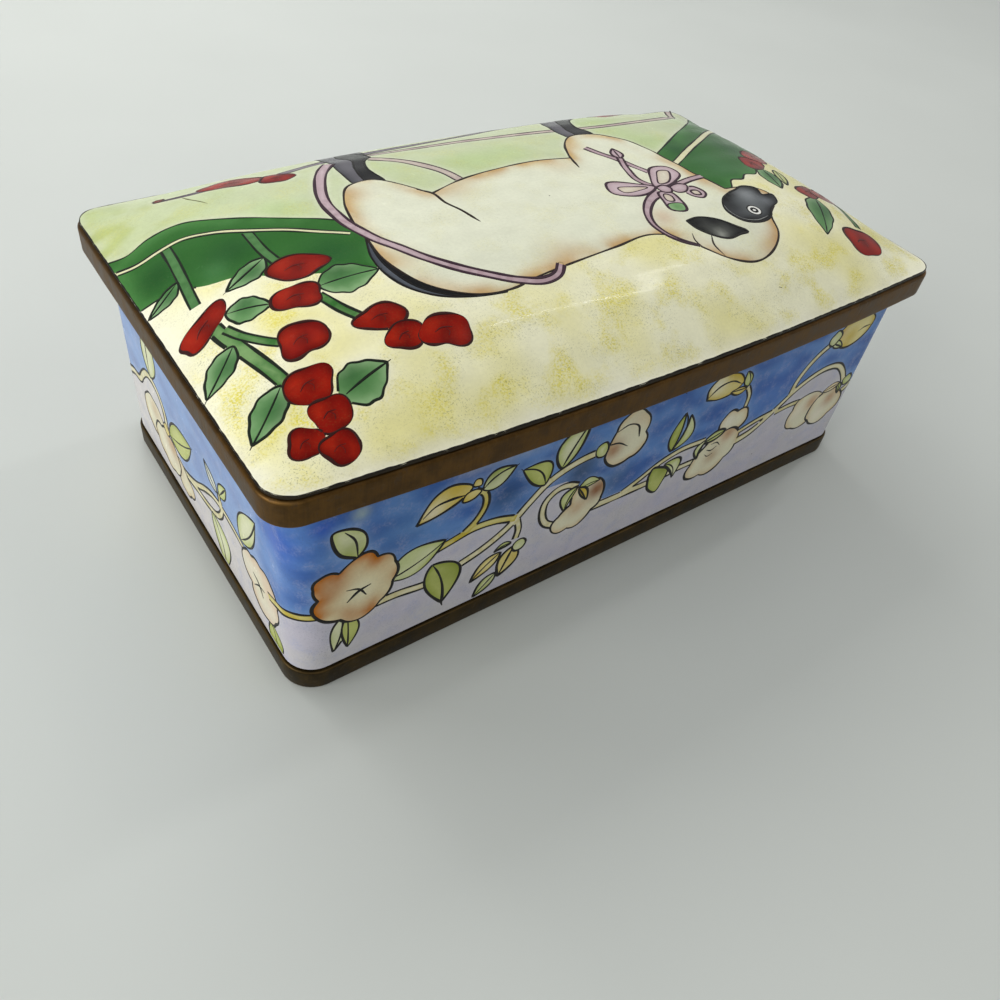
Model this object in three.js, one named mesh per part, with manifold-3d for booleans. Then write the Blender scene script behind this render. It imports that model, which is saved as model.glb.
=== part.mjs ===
// A small box of painted enamel on copper with a lift-off lid.
// Millimetres, +Z up, the origin under the middle of the foot, the length along X.
// Four pieces: the open body, the metal band round its foot, the metal band of the
// lid, which drops over the body's top edge, and the domed lid plate that lies on it.

import * as THREE from "three";
import { mergeVertices } from "three/addons/utils/BufferGeometryUtils.js";
import Module from "manifold-3d";

const wasm = await Module();
wasm.setup();

// Driving sizes of the body, outside
const BODY_LENGTH = 104.8;
const BODY_WIDTH = 57.6;
const BODY_CORNER = 4;
const BODY_UNDERSIDE = 1.1;
const BODY_TOP = 34.1;
const WALL = 2;
const FLOOR = 1.4;

// Driving sizes of the foot band
const FOOT_PROUD = 0.4;
const FOOT_HEIGHT = 3.3;
const FOOT_WALL = 0.9;
const FOOT_LEDGE = 3.3;
const FOOT_LEDGE_THICKNESS = 0.8;
const FOOT_ROUNDING = 0.3;

// Driving sizes of the lid band: its long sides bow out by LID_BOW at the middle
const LID_LENGTH = 110;
const LID_WIDTH = 61;
const LID_CORNER = 4;
const LID_BOW = 2;
const BAND_BOTTOM = 32.8;
const BAND_TOP = 36.4;
const BAND_WALL = 1.2;
const BAND_ROUNDING = 0.4;
const LEDGE_THICKNESS = 0.8;
const LEDGE_OPENING_LENGTH = 100;
const LEDGE_OPENING_WIDTH = 51;
const LEDGE_OPENING_CORNER = 3;

// Driving sizes of the domed lid plate
const PLATE_INSET = 0.4;
const PLATE_EDGE_THICKNESS = 0.3;
const PLATE_THICKNESS = 1.2;
const DOME_RISE = 8.6;
const DOME_POWER_ALONG = 4.6;
const DOME_POWER_ACROSS = 3;
const PLATE_CELLS_ALONG = 36;
const PLATE_CELLS_ACROSS = 24;

// Pieces that touch keep this much room between them
const GAP = 0.3;
// Longer than any piece is tall, for cuts that go right through
const CUT_OVERRUN = 5;

const ARC_STEPS = 8;
const ROUNDING_STEPS = 2;

const footLength = BODY_LENGTH + 2 * FOOT_PROUD;
const footWidth = BODY_WIDTH + 2 * FOOT_PROUD;
const footCorner = BODY_CORNER + FOOT_PROUD;
const ledgeBottom = BODY_TOP + GAP;
const ledgeTop = ledgeBottom + LEDGE_THICKNESS;
const plateBottom = BAND_TOP + GAP;
const plateEdge = plateBottom + PLATE_EDGE_THICKNESS;

// A rounded rectangle with straight sides
function straightOutline(length, width, corner) {
  const x = length / 2 - corner;
  const y = width / 2 - corner;
  const outline = new THREE.Shape();
  outline.absarc(x, y, corner, 0, Math.PI / 2);
  outline.absarc(-x, y, corner, Math.PI / 2, Math.PI);
  outline.absarc(-x, -y, corner, Math.PI, 1.5 * Math.PI);
  outline.absarc(x, -y, corner, 1.5 * Math.PI, 2 * Math.PI);
  return outline;
}

// The circle that a bowed long side follows, as its radius and the distance
// of its centre below the middle of the box
function bowCircle(length, width, bow) {
  const radius = length ** 2 / (8 * bow) + bow / 2;
  return { radius, below: radius - width / 2 - bow };
}

// Half the width of a bowed outline at a place along its length
function halfWidthAt(x, length, width, bow) {
  const { radius, below } = bowCircle(length, width, bow);
  return Math.sqrt(radius ** 2 - x ** 2) - below;
}

// A rounded rectangle whose two long sides are arcs that bow outwards
function bowedOutline(length, width, corner, bow) {
  const { radius, below } = bowCircle(length, width, bow);
  const x = length / 2 - corner;
  const reach = Math.sqrt((radius - corner) ** 2 - x ** 2);
  const y = reach - below;
  const turn = Math.atan2(reach, x);
  const outline = new THREE.Shape();
  outline.absarc(x, y, corner, 0, turn);
  outline.absarc(0, -below, radius, turn, Math.PI - turn);
  outline.absarc(-x, y, corner, Math.PI - turn, Math.PI);
  outline.absarc(-x, -y, corner, Math.PI, Math.PI + turn);
  outline.absarc(0, below, radius, Math.PI + turn, 2 * Math.PI - turn);
  outline.absarc(x, -y, corner, 2 * Math.PI - turn, 2 * Math.PI);
  return outline;
}

// A closed geometry as a solid that can be joined and cut
function solidOf(geometry) {
  const bare = geometry.clone();
  bare.deleteAttribute("normal");
  bare.deleteAttribute("uv");
  const merged = mergeVertices(bare, 1e-4);
  return new wasm.Manifold(new wasm.Mesh({
    numProp: 3,
    vertProperties: merged.attributes.position.array,
    triVerts: new Uint32Array(merged.index.array),
  }));
}

// An outline raised from one height to another, with its two rims rounded if asked
function slab(outline, bottom, top, rounding = 0) {
  const geometry = new THREE.ExtrudeGeometry(outline, {
    depth: top - bottom - 2 * rounding,
    curveSegments: ARC_STEPS,
    bevelEnabled: rounding > 0,
    bevelThickness: rounding,
    bevelSize: rounding,
    bevelOffset: -rounding,
    bevelSegments: ROUNDING_STEPS,
  });
  geometry.translate(0, 0, bottom + rounding);
  return solidOf(geometry);
}

function meshOf(name, solid, material) {
  const { vertProperties, triVerts } = solid.getMesh();
  const geometry = new THREE.BufferGeometry();
  geometry.setAttribute("position", new THREE.BufferAttribute(vertProperties, 3));
  geometry.setIndex(new THREE.BufferAttribute(triVerts, 1));
  geometry.computeVertexNormals();
  const mesh = new THREE.Mesh(geometry, material);
  mesh.name = name;
  return mesh;
}

// The open body: four walls and a floor, stepped in below to stand inside the foot band
function body() {
  const block = slab(straightOutline(BODY_LENGTH, BODY_WIDTH, BODY_CORNER), BODY_UNDERSIDE, BODY_TOP);
  const hollow = slab(
    straightOutline(BODY_LENGTH - 2 * WALL, BODY_WIDTH - 2 * WALL, BODY_CORNER - WALL),
    BODY_UNDERSIDE + FLOOR,
    BODY_TOP + CUT_OVERRUN,
  );
  const stepIn = FOOT_WALL + GAP;
  const standing = slab(
    straightOutline(footLength - 2 * stepIn, footWidth - 2 * stepIn, footCorner - stepIn),
    BODY_UNDERSIDE - CUT_OVERRUN,
    BODY_TOP,
  );
  const aroundFoot = slab(
    straightOutline(footLength + CUT_OVERRUN, footWidth + CUT_OVERRUN, footCorner),
    BODY_UNDERSIDE - CUT_OVERRUN,
    FOOT_HEIGHT + GAP,
  );
  return block.subtract(hollow).subtract(aroundFoot.subtract(standing));
}

// The foot band: a low wall round the body with a narrow flat ledge turned in under it
function footBand() {
  const block = slab(straightOutline(footLength, footWidth, footCorner), 0, FOOT_HEIGHT, FOOT_ROUNDING);
  const seat = slab(
    straightOutline(footLength - 2 * FOOT_WALL, footWidth - 2 * FOOT_WALL, footCorner - FOOT_WALL),
    FOOT_LEDGE_THICKNESS,
    FOOT_HEIGHT + CUT_OVERRUN,
  );
  const opening = slab(
    straightOutline(footLength - 2 * FOOT_LEDGE, footWidth - 2 * FOOT_LEDGE, footCorner - FOOT_WALL),
    -CUT_OVERRUN,
    FOOT_HEIGHT,
  );
  return block.subtract(seat).subtract(opening);
}

// The lid band: a skirt that drops over the body, an inner ledge that rests on the
// body's top edge, and a top rim that carries the plate
function lidBand() {
  const innerLength = LID_LENGTH - 2 * BAND_WALL;
  const innerWidth = LID_WIDTH - 2 * BAND_WALL;
  const inner = bowedOutline(innerLength, innerWidth, LID_CORNER - BAND_WALL, LID_BOW);
  const block = slab(
    bowedOutline(LID_LENGTH, LID_WIDTH, LID_CORNER, LID_BOW),
    BAND_BOTTOM,
    BAND_TOP,
    BAND_ROUNDING,
  );
  const below = slab(inner, BAND_BOTTOM - CUT_OVERRUN, ledgeBottom);
  const above = slab(inner, ledgeTop, BAND_TOP + CUT_OVERRUN);
  const opening = slab(
    straightOutline(LEDGE_OPENING_LENGTH, LEDGE_OPENING_WIDTH, LEDGE_OPENING_CORNER),
    BAND_BOTTOM - CUT_OVERRUN,
    BAND_TOP + CUT_OVERRUN,
  );
  return block.subtract(below).subtract(above).subtract(opening);
}

// How high a pillow stands above its edge: level in the middle, rounding down to all sides
function pillow(x, y, halfLength, halfWidth, rise) {
  const along = Math.min(1, Math.abs(x) / halfLength);
  const across = Math.min(1, Math.abs(y) / halfWidth);
  return rise * (1 - along ** DOME_POWER_ALONG) * (1 - across ** DOME_POWER_ACROSS);
}

// The lid plate: a domed sheet with a thin flat edge that lies on the band's top rim
function lidPlate() {
  const length = LID_LENGTH - 2 * PLATE_INSET;
  const width = LID_WIDTH - 2 * PLATE_INSET;
  const flange = BAND_WALL + GAP - PLATE_INSET;
  const hollowRise = DOME_RISE - PLATE_THICKNESS + PLATE_EDGE_THICKNESS;
  const halfLength = length / 2;
  const sheet = new THREE.BoxGeometry(2, 2, 2, PLATE_CELLS_ALONG, PLATE_CELLS_ACROSS, 1);
  const point = new THREE.Vector3();
  const places = sheet.attributes.position;
  for (let i = 0; i < places.count; i += 1) {
    point.fromBufferAttribute(places, i);
    // closer grid lines towards the edges, where the sheet bends most
    const x = halfLength * Math.sin((point.x * Math.PI) / 2);
    const halfWidth = halfWidthAt(x, length, width, LID_BOW);
    const y = halfWidth * Math.sin((point.y * Math.PI) / 2);
    const top = plateEdge + pillow(x, y, halfLength, halfWidth, DOME_RISE);
    const underside = plateBottom
      + pillow(x, y, halfLength - flange, halfWidth - flange, hollowRise);
    places.setXYZ(i, x, y, point.z > 0 ? top : underside);
  }
  const trimmed = slab(
    bowedOutline(length, width, LID_CORNER - PLATE_INSET, LID_BOW),
    plateBottom - CUT_OVERRUN,
    plateEdge + DOME_RISE + CUT_OVERRUN,
  );
  return solidOf(sheet).intersect(trimmed);
}

const blueEnamel = new THREE.MeshStandardMaterial({ color: 0x5b7fc0, roughness: 0.25, metalness: 0 });
const creamEnamel = new THREE.MeshStandardMaterial({ color: 0xdcd9a8, roughness: 0.2, metalness: 0 });
const footMetal = new THREE.MeshStandardMaterial({ color: 0x4a3a24, roughness: 0.5, metalness: 0.9 });
const bandMetal = new THREE.MeshStandardMaterial({ color: 0x5c4426, roughness: 0.45, metalness: 0.9 });

const box = new THREE.Group();
box.add(meshOf("body", body(), blueEnamel));
box.add(meshOf("foot_band", footBand(), footMetal));
box.add(meshOf("lid_plate", lidPlate(), creamEnamel));
box.add(meshOf("lid_band", lidBand(), bandMetal));

export default box;
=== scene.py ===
import math

import bpy
import numpy as np
from mathutils import Matrix, Vector, noise
from mathutils.geometry import delaunay_2d_cdt
from mathutils.kdtree import KDTree


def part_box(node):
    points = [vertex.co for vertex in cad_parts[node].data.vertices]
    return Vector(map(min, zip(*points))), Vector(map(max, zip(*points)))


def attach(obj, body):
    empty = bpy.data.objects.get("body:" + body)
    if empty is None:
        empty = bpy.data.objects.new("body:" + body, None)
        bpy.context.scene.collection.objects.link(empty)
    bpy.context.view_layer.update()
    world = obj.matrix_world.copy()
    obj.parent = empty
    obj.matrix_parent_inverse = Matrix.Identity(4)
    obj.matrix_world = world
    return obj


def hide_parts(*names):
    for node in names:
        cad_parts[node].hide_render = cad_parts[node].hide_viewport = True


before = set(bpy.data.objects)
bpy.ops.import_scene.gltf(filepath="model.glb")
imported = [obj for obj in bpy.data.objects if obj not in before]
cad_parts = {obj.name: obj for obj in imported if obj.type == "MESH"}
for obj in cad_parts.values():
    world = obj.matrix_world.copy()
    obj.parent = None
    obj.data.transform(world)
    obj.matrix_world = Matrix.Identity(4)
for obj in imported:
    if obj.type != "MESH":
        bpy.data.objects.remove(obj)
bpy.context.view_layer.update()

# Everything below is worked out in millimetres and turned to metres when a mesh is made
MM = 0.001


def node_box(node):
    low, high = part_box(node)
    return np.array(low) / MM, np.array(high) / MM


BODY_LOW, BODY_HIGH = node_box("body")
FOOT_LOW, FOOT_HIGH = node_box("foot_band")
BAND_LOW, BAND_HIGH = node_box("lid_band")
PLATE_LOW, PLATE_HIGH = node_box("lid_plate")

# Sizes inside those boxes
GAP = 0.3
BODY_CORNER = 4.0
WALL = 2.0
FLOOR = 1.4
FOOT_CORNER = 4.4
FOOT_WALL = 0.9
FOOT_LEDGE = 3.3
FOOT_LEDGE_THICKNESS = 0.8
BAND_CORNER = 4.0
BAND_BOW = 2.0
BAND_WALL = 1.2
LEDGE_THICKNESS = 0.8
LEDGE_HALF_LENGTH = 50.0
LEDGE_HALF_WIDTH = 25.5
LEDGE_CORNER = 3.0
PLATE_INSET = 0.4
PLATE_CORNER = BAND_CORNER - PLATE_INSET
PLATE_FLANGE = BAND_WALL + GAP - PLATE_INSET
PLATE_THICKNESS = 1.2
PLATE_EDGE_THICKNESS = 0.3
PLATE_EDGE = PLATE_LOW[2] + PLATE_EDGE_THICKNESS
DOME_POWER_ALONG = 4.6
DOME_POWER_ACROSS = 3.0
LEDGE_BOTTOM = BODY_HIGH[2] + GAP
LEDGE_TOP = LEDGE_BOTTOM + LEDGE_THICKNESS
WALL_FOOT = FOOT_HIGH[2] + GAP
# The lid's plate and band are drawn closer than the solids' gap by this much on each side
DRAWN_CLOSER = 0.1

# How finely surfaces and brush strokes are cut
RING_STEP = 1.0
PANEL_CELL = 0.75
STROKE_STEP = 0.3
# Points of one piece that are this close are one point
MERGE_WITHIN = 0.0001


def rgb(red, green, blue):
    """A colour given in screen values, as the linear values that shaders use."""
    values = np.array([red, green, blue]) / 255
    return np.where(values <= 0.04045, values / 12.92, ((values + 0.055) / 1.055) ** 2.4)


# Outlines of the box, its bands and its lid


def arc(centre_x, centre_y, radius, start, end, step):
    count = max(2, math.ceil(radius * (end - start) / step))
    angles = np.linspace(start, end, count + 1)
    out = np.stack([np.cos(angles), np.sin(angles)], 1)
    return np.array([centre_x, centre_y]) + radius * out, out, radius * (angles - start)


def straight(start, end, out, step):
    start, end = np.array(start), np.array(end)
    length = np.linalg.norm(end - start)
    share = np.linspace(0, 1, max(2, math.ceil(length / step)) + 1)
    return start + share[:, None] * (end - start), np.tile(out, (len(share), 1)), share * length


class Outline:
    """A line round the box, anticlockwise from above, starting at the middle of the near side."""

    def __init__(self, half_length, half_width, corner, bow=0.0, step=RING_STEP):
        x = half_length - corner
        if bow:
            radius = half_length**2 / (2 * bow) + bow / 2
            below = radius - half_width
            reach = math.sqrt((radius - corner) ** 2 - x**2)
            turn = math.atan2(reach, x)
            y = reach - below
            stretches = [arc(0, below, radius, -math.pi / 2, -turn, step)]
        else:
            turn = math.pi / 2
            y = half_width - corner
            stretches = [straight((0, -half_width), (x, -half_width), (0, -1), step)]
        stretches.append(arc(x, -y, corner, -turn, 0, step / 2))
        stretches.append(straight((half_length, -y), (half_length, 0), (1, 0), step))
        place, out, along = [], [], []
        reached = 0.0
        for points, directions, lengths in stretches:
            first = 1 if along else 0
            place.extend(points[first:])
            out.extend(directions[first:])
            along.extend(reached + lengths[first:])
            reached = along[-1]
        self.place = self._all_round(np.array(place))
        self.out = self._all_round(np.array(out))
        along = np.array(along)
        self.length = 4 * reached
        self.along = np.concatenate(
            [
                along[:-1],
                2 * reached - along[:0:-1],
                2 * reached + along[:-1],
                4 * reached - along[:0:-1],
            ]
        )

    def _all_round(self, quarter):
        return np.concatenate(
            [
                quarter[:-1],
                (quarter * [1, -1])[:0:-1],
                -quarter[:-1],
                (quarter * [-1, 1])[:0:-1],
            ]
        )

    def ring(self, inset, height):
        """The outline moved inwards by inset, at a height."""
        points = self.place - self.out * np.reshape(inset, (-1, 1))
        heights = np.broadcast_to(height, len(points))
        return np.column_stack([points, heights])

    def at(self, along):
        """The point and outward direction at a distance along the outline."""
        found = [
            np.interp(along, self.along, values, period=self.length)
            for values in (*self.place.T, *self.out.T)
        ]
        return np.stack(found[:2], 1), np.stack(found[2:], 1)


body_outline = Outline(BODY_HIGH[0], BODY_HIGH[1], BODY_CORNER)
body_line = Outline(BODY_HIGH[0], BODY_HIGH[1], BODY_CORNER, step=0.05)
foot_outline = Outline(FOOT_HIGH[0], FOOT_HIGH[1], FOOT_CORNER)
band_outline = Outline(BAND_HIGH[0], BAND_HIGH[1], BAND_CORNER, BAND_BOW)
ledge_outline = Outline(LEDGE_HALF_LENGTH, LEDGE_HALF_WIDTH, LEDGE_CORNER)
plate_outline = Outline(PLATE_HIGH[0], PLATE_HIGH[1], PLATE_CORNER, BAND_BOW)
HALF_ROUND = body_line.length / 2


# Lines and shapes in the flat


def through(points, closed=False, step=STROKE_STEP):
    """A smooth line through the points, with its tangents weighed by the distances between them."""
    points = np.array(points, float)
    if closed:
        points = np.concatenate([points[-1:], points, points[:2]])
    gaps = np.maximum(np.linalg.norm(np.diff(points, axis=0), axis=1), 1e-6)
    slopes = np.diff(points, axis=0) / gaps[:, None]
    before, after = gaps[:-1, None], gaps[1:, None]
    middle = (slopes[:-1] * after + slopes[1:] * before) / (before + after)
    tangents = np.concatenate([slopes[:1], middle, slopes[-1:]])
    line = []
    first, last = (1, len(points) - 2) if closed else (0, len(points) - 1)
    for k in range(first, last):
        t = np.linspace(0, 1, max(2, math.ceil(gaps[k] / step)) + 1)[:-1, None]
        line.append(
            (2 * t**3 - 3 * t**2 + 1) * points[k]
            + (t**3 - 2 * t**2 + t) * gaps[k] * tangents[k]
            + (3 * t**2 - 2 * t**3) * points[k + 1]
            + (t**3 - t**2) * gaps[k] * tangents[k + 1]
        )
    if not closed:
        line.append(points[-1:])
    return np.concatenate(line)


def area(loop):
    x, y = np.array(loop).T
    return 0.5 * np.sum(x * np.roll(y, -1) - y * np.roll(x, -1))


def scallops(cusps, swell=0.2, step=STROKE_STEP):
    """A closed line of arcs that swell outwards between the cusps, as petals do."""
    points = np.array([c[:2] for c in cusps], float)
    swells = [c[2] if len(c) > 2 else swell for c in cusps]
    side = math.copysign(1, area(points))
    line = []
    for k, point in enumerate(points):
        chord = points[(k + 1) % len(points)] - point
        t = np.linspace(0, 1, max(3, math.ceil(np.linalg.norm(chord) / step)) + 1)[:-1, None]
        outwards = side * np.array([chord[1], -chord[0]])
        line.append(point + t * chord + 4 * swells[k] * t * (1 - t) * outwards)
    return np.concatenate(line)


def evenly(points, step=STROKE_STEP):
    """The same line with its points an even step apart."""
    points = np.array(points, float)
    along = np.concatenate([[0], np.cumsum(np.linalg.norm(np.diff(points, axis=0), axis=1))])
    wanted = np.linspace(0, along[-1], max(1, round(along[-1] / step)) + 1)
    return np.stack([np.interp(wanted, along, points[:, axis]) for axis in (0, 1)], 1)


def sideways(line):
    """The direction to the left of the line at each of its points."""
    ahead = np.gradient(line, axis=0)
    ahead /= np.linalg.norm(ahead, axis=1)[:, None]
    return np.stack([-ahead[:, 1], ahead[:, 0]], 1)


def inside(points, loop):
    """Which points lie inside a closed line."""
    found = np.zeros(len(points), bool)
    low, high = loop.min(0), loop.max(0)
    near = np.flatnonzero(np.all((points >= low) & (points <= high), axis=1))
    x, y = points[near].T
    crossed = np.zeros(len(near), bool)
    for (x1, y1), (x2, y2) in zip(loop, np.roll(loop, -1, axis=0)):
        if y1 != y2:
            spans = (y1 > y) != (y2 > y)
            crossed ^= spans & (x < (x2 - x1) * (y - y1) / (y2 - y1) + x1)
    found[near] = crossed
    return found


def distance_to(points, loop):
    """How far each point is from a closed line."""
    nearest = np.full(len(points), 1e9)
    for start, end in zip(loop, np.roll(loop, -1, axis=0)):
        edge = end - start
        share = np.clip((points - start) @ edge / max(edge @ edge, 1e-9), 0, 1)
        nearest = np.minimum(nearest, np.linalg.norm(points - start - share[:, None] * edge, axis=1))
    return nearest


def smooth_step(values, low, high):
    t = np.clip((values - low) / (high - low), 0, 1)
    return t * t * (3 - 2 * t)


def cloud(points, size, seed):
    """Slow random change over a flat surface, from about -1 to 1."""
    return np.array([noise.noise(Vector((x / size, y / size, seed))) for x, y in points])


# Painting in the flat: fields of colour with brushed outlines


class Paint:
    """A field's colour, its tint near the outline, how far that tint reaches, and how flecked it is."""

    def __init__(self, middle, rim, reach, flecks=0.0, patchy=0.0):
        self.middle = rgb(*middle)
        self.rim = rgb(*rim)
        self.reach = reach
        self.flecks = flecks
        self.patchy = patchy

    def __call__(self, points, distance):
        share = np.exp(-((distance / self.reach) ** 2))
        if self.patchy:
            share = share * np.clip(1 + 2.4 * self.patchy * cloud(points, 3.2, 6.6), 0, 1.3)
        colour = self.middle + share[:, None] * (self.rim - self.middle)
        return np.column_stack([np.clip(colour, 0, 1), np.full(len(points), self.flecks)])


class Blush:
    """A soft round patch of another colour."""

    def __init__(self, x, y, radius, colour, strength=0.8):
        self.place = np.array([x, y])
        self.radius = radius
        self.colour = rgb(*colour)
        self.strength = strength

    def over(self, points, colours):
        spread = np.sum((points - self.place) ** 2, axis=1) / self.radius**2
        share = self.strength * np.exp(-spread)[:, None]
        colours[:, :3] += share * (self.colour - colours[:, :3])


class Field:
    def __init__(self, outline, paint, order, together, blushes):
        self.outline = outline
        self.paint = paint
        self.order = order
        self.together = together
        self.blushes = blushes


class Drawing:
    """Painted fields and brush strokes on a flat panel. Later ones cover earlier ones."""

    def __init__(self, within, ink):
        self.within = within
        self.ink = ink
        self.fields = []
        self.strokes = []
        self.order = 0

    def stroke(self, line, width, ink=None, ends=(True, True), own=None, together=None, ragged=(0.32, 3.2)):
        """A brush line, thinner towards each end that is asked for and uneven by a share over a length."""
        self.order += own is None
        self.strokes.append(
            {
                "line": np.array(line, float),
                "width": width,
                "ink": rgb(*(ink or self.ink)),
                "ends": ends,
                "order": self.order,
                "together": together,
                "own": own,
                "ragged": ragged,
            }
        )

    def field(
        self, outline, paint, width=0.34, ink=None, together=None, blushes=(), edges=None, ragged=(0.32, 3.2)
    ):
        """A closed shape filled with a paint and outlined, or lined only along the edges given."""
        self.order += 1
        outline = np.array(outline, float)
        field = Field(self.within(outline), paint, self.order, together, blushes)
        self.fields.append(field)
        if edges is None:
            edges = [np.concatenate([outline, outline[:1]])]
        if width:
            for edge in edges:
                self.stroke(edge, width, ink, (False, False), field, together, ragged)
        return field

    def leaf(
        self, base, tip, left, right, paint, bend=0.0, rib=0.0, width=0.34, flick=0.0, ink=None,
        shade=None, wavy=0.0
    ):
        """A pointed leaf with a midrib, its halves as wide as given, the left one shaded if asked."""
        base, tip = np.array(base, float), np.array(tip, float)
        axis = tip - base
        across = np.array([-axis[1], axis[0]]) / np.linalg.norm(axis)
        t = np.linspace(0, 1, 37)[:, None]
        middle = base + t * axis + 4 * bend * t * (1 - t) * across
        swell = np.sin(math.pi * t**0.8) ** 0.9
        swell = swell * (1 + wavy * np.sin(23 * t + 3 * base[0]))
        outline = np.concatenate([middle + left * swell * across, (middle - right * swell * across)[-2:0:-1]])
        blushes = []
        if shade:
            dark_half = middle[14] + 0.55 * left * across
            blushes.append(Blush(*dark_half, 0.32 * np.linalg.norm(axis), shade, 0.6))
        self.field(outline, paint, width, ink, blushes=blushes)
        vein = middle + 4 * rib * t * (1 - t) * across
        if flick:
            vein = np.concatenate([vein, [tip + flick * axis / np.linalg.norm(axis)]])
        self.stroke(through(vein[1:]), width * 0.85, ink)

    def stem(self, points, thickness, paint, width=0.34, together=None, ink=None, tip=None):
        """A stem: a band of paint between two brush lines."""
        line = evenly(through(points), 0.5)
        half = np.interp(
            np.linspace(0, 1, len(line)), [0, 1], [thickness / 2, (tip or thickness) / 2]
        )[:, None]
        across = sideways(line)
        left, right = line + half * across, line - half * across
        outline = np.concatenate([left, right[::-1]])
        self.field(outline, paint, width, ink, together, edges=[left, right])

    def berry(self, x, y, half_length, half_width, turn, paint, ink):
        """A lobed fruit with an uneven edge, two brighter cheeks and two soft creases that cross."""
        angles = np.linspace(0, 2 * math.pi, 49)[:-1]
        lobes = 0.08 * np.cos(3 * angles + x) + 0.06 * np.cos(4 * angles + 2 * y)
        reach = 0.97 + lobes - 0.1 * np.exp(-(((angles - 4.6) / 0.4) ** 2))
        flat = np.stack([half_length * reach * np.cos(angles), half_width * reach * np.sin(angles)], 1)
        cosine, sine = math.cos(turn), math.sin(turn)
        turned = np.array([[cosine, sine], [-sine, cosine]])
        cheek = (np.array([-0.4 * half_length, 0.35 * half_width]) @ turned) + [x, y]
        low_cheek = (np.array([0.45 * half_length, -0.35 * half_width]) @ turned) + [x, y]
        blushes = [
            Blush(*cheek, 0.42 * half_length, BERRY_BRIGHT, 0.6),
            Blush(*low_cheek, 0.36 * half_length, BERRY_BRIGHT, 0.4),
            Blush(x, y, 0.34 * half_length, BERRY_DARK, 0.75),
        ]
        self.field(flat @ turned + [x, y], paint, 0.24, ink, blushes=blushes, ragged=(0.8, 1.8))
        for crease in (
            [(-0.42, -0.06), (-0.12, 0.16), (0.26, 0.1)],
            [(-0.02, 0.12), (0.12, -0.12), (0.02, -0.34)],
        ):
            line = through(crease) * [half_length, half_width] @ turned + [x, y]
            self.stroke(line, 0.24, BERRY_DARK)

    def covered(self, points, stroke):
        """Which of a stroke's points lie under what was painted later, or off the panel."""
        hidden = np.any(np.abs(self.within(points) - points) > 1e-6, axis=1)
        for field in self.fields:
            joined = stroke["together"] and field.together == stroke["together"]
            if field is not stroke["own"] and (field.order > stroke["order"] or joined):
                hidden |= inside(points, field.outline)
        return hidden

    def brush_lines(self):
        """The parts of the strokes that show: points, half widths and ink."""
        shown = []
        for number, stroke in enumerate(self.strokes):
            line = evenly(stroke["line"])
            along = np.arange(len(line)) * STROKE_STEP
            amount, length = stroke["ragged"]
            wander = cloud(np.stack([along, np.full(len(line), 7.3 * number)], 1), length, 0.5)
            half = 0.5 * stroke["width"] * np.clip(1 + 1.7 * amount * wander, 0.12, 2.2)
            for asked, away in zip(stroke["ends"], (along, along[-1] - along)):
                if asked:
                    half = half * np.clip(0.35 + 0.65 * away / 1.4, 0, 1)
            visible = ~self.covered(line, stroke)
            edges = np.flatnonzero(np.diff(np.concatenate([[0], visible.astype(int), [0]])))
            for start, end in edges.reshape(-1, 2):
                if end - start > 1:
                    shown.append((line[start:end], half[start:end], stroke["ink"]))
        return shown


def flat_panel(boundary, drawing, ground):
    """Triangles over a panel that follow the outlines of its fields, with a colour at every corner."""
    loops = [boundary] + [field.outline for field in drawing.fields]
    points = np.concatenate(loops)
    edges = []
    first = 0
    for loop in loops:
        numbers = np.arange(first, first + len(loop))
        edges.extend(zip(numbers, np.roll(numbers, -1)))
        first += len(loop)
    finder = KDTree(len(points))
    for number, (x, y) in enumerate(points):
        finder.insert((x, y, 0), number)
    finder.balance()
    low, high = boundary.min(0), boundary.max(0)
    rows = np.arange(low[1] + PANEL_CELL, high[1], PANEL_CELL)
    columns = np.arange(low[0] + PANEL_CELL, high[0], PANEL_CELL)
    grid = np.array([(x + (k % 2) * PANEL_CELL / 2, y) for k, y in enumerate(rows) for x in columns])
    clear = np.array([finder.find((x, y, 0))[2] > 0.4 * PANEL_CELL for x, y in grid])
    grid = grid[clear & inside(grid, boundary)]
    everything = [Vector(p) for p in np.concatenate([points, grid])]
    made = delaunay_2d_cdt(everything, [(int(a), int(b)) for a, b in edges], [], 0, 1e-5, True)
    places = np.array([tuple(v) for v in made[0]])
    faces = np.array([f for f in made[2] if len(f) == 3])
    middles = places[faces].mean(1)
    keep = inside(middles, boundary)
    faces, middles = faces[keep], middles[keep]
    clearance = np.array([finder.find((x, y, 0))[2] for x, y in places])
    corners = places[faces]
    turned = np.cross(corners[:, 1] - corners[:, 0], corners[:, 2] - corners[:, 0]) < 0
    faces[turned] = faces[turned][:, ::-1]
    owner = np.full(len(faces), -1)
    for number, field in enumerate(drawing.fields):
        owner[inside(middles, field.outline)] = number
    colours = np.zeros((len(faces), 3, 4))
    for number in np.unique(owner):
        mine = owner == number
        used, back = np.unique(faces[mine], return_inverse=True)
        spots = places[used]
        if number < 0:
            found = ground(spots, clearance[used])
        else:
            field = drawing.fields[number]
            wash = not isinstance(field.paint, Paint)
            found = field.paint(spots, clearance[used] if wash else distance_to(spots, field.outline))
            for blush in field.blushes:
                blush.over(spots, found)
        colours[mine] = found[back.reshape(-1)].reshape(-1, 3, 4)
    return places, faces, colours


# Meshes


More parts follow.
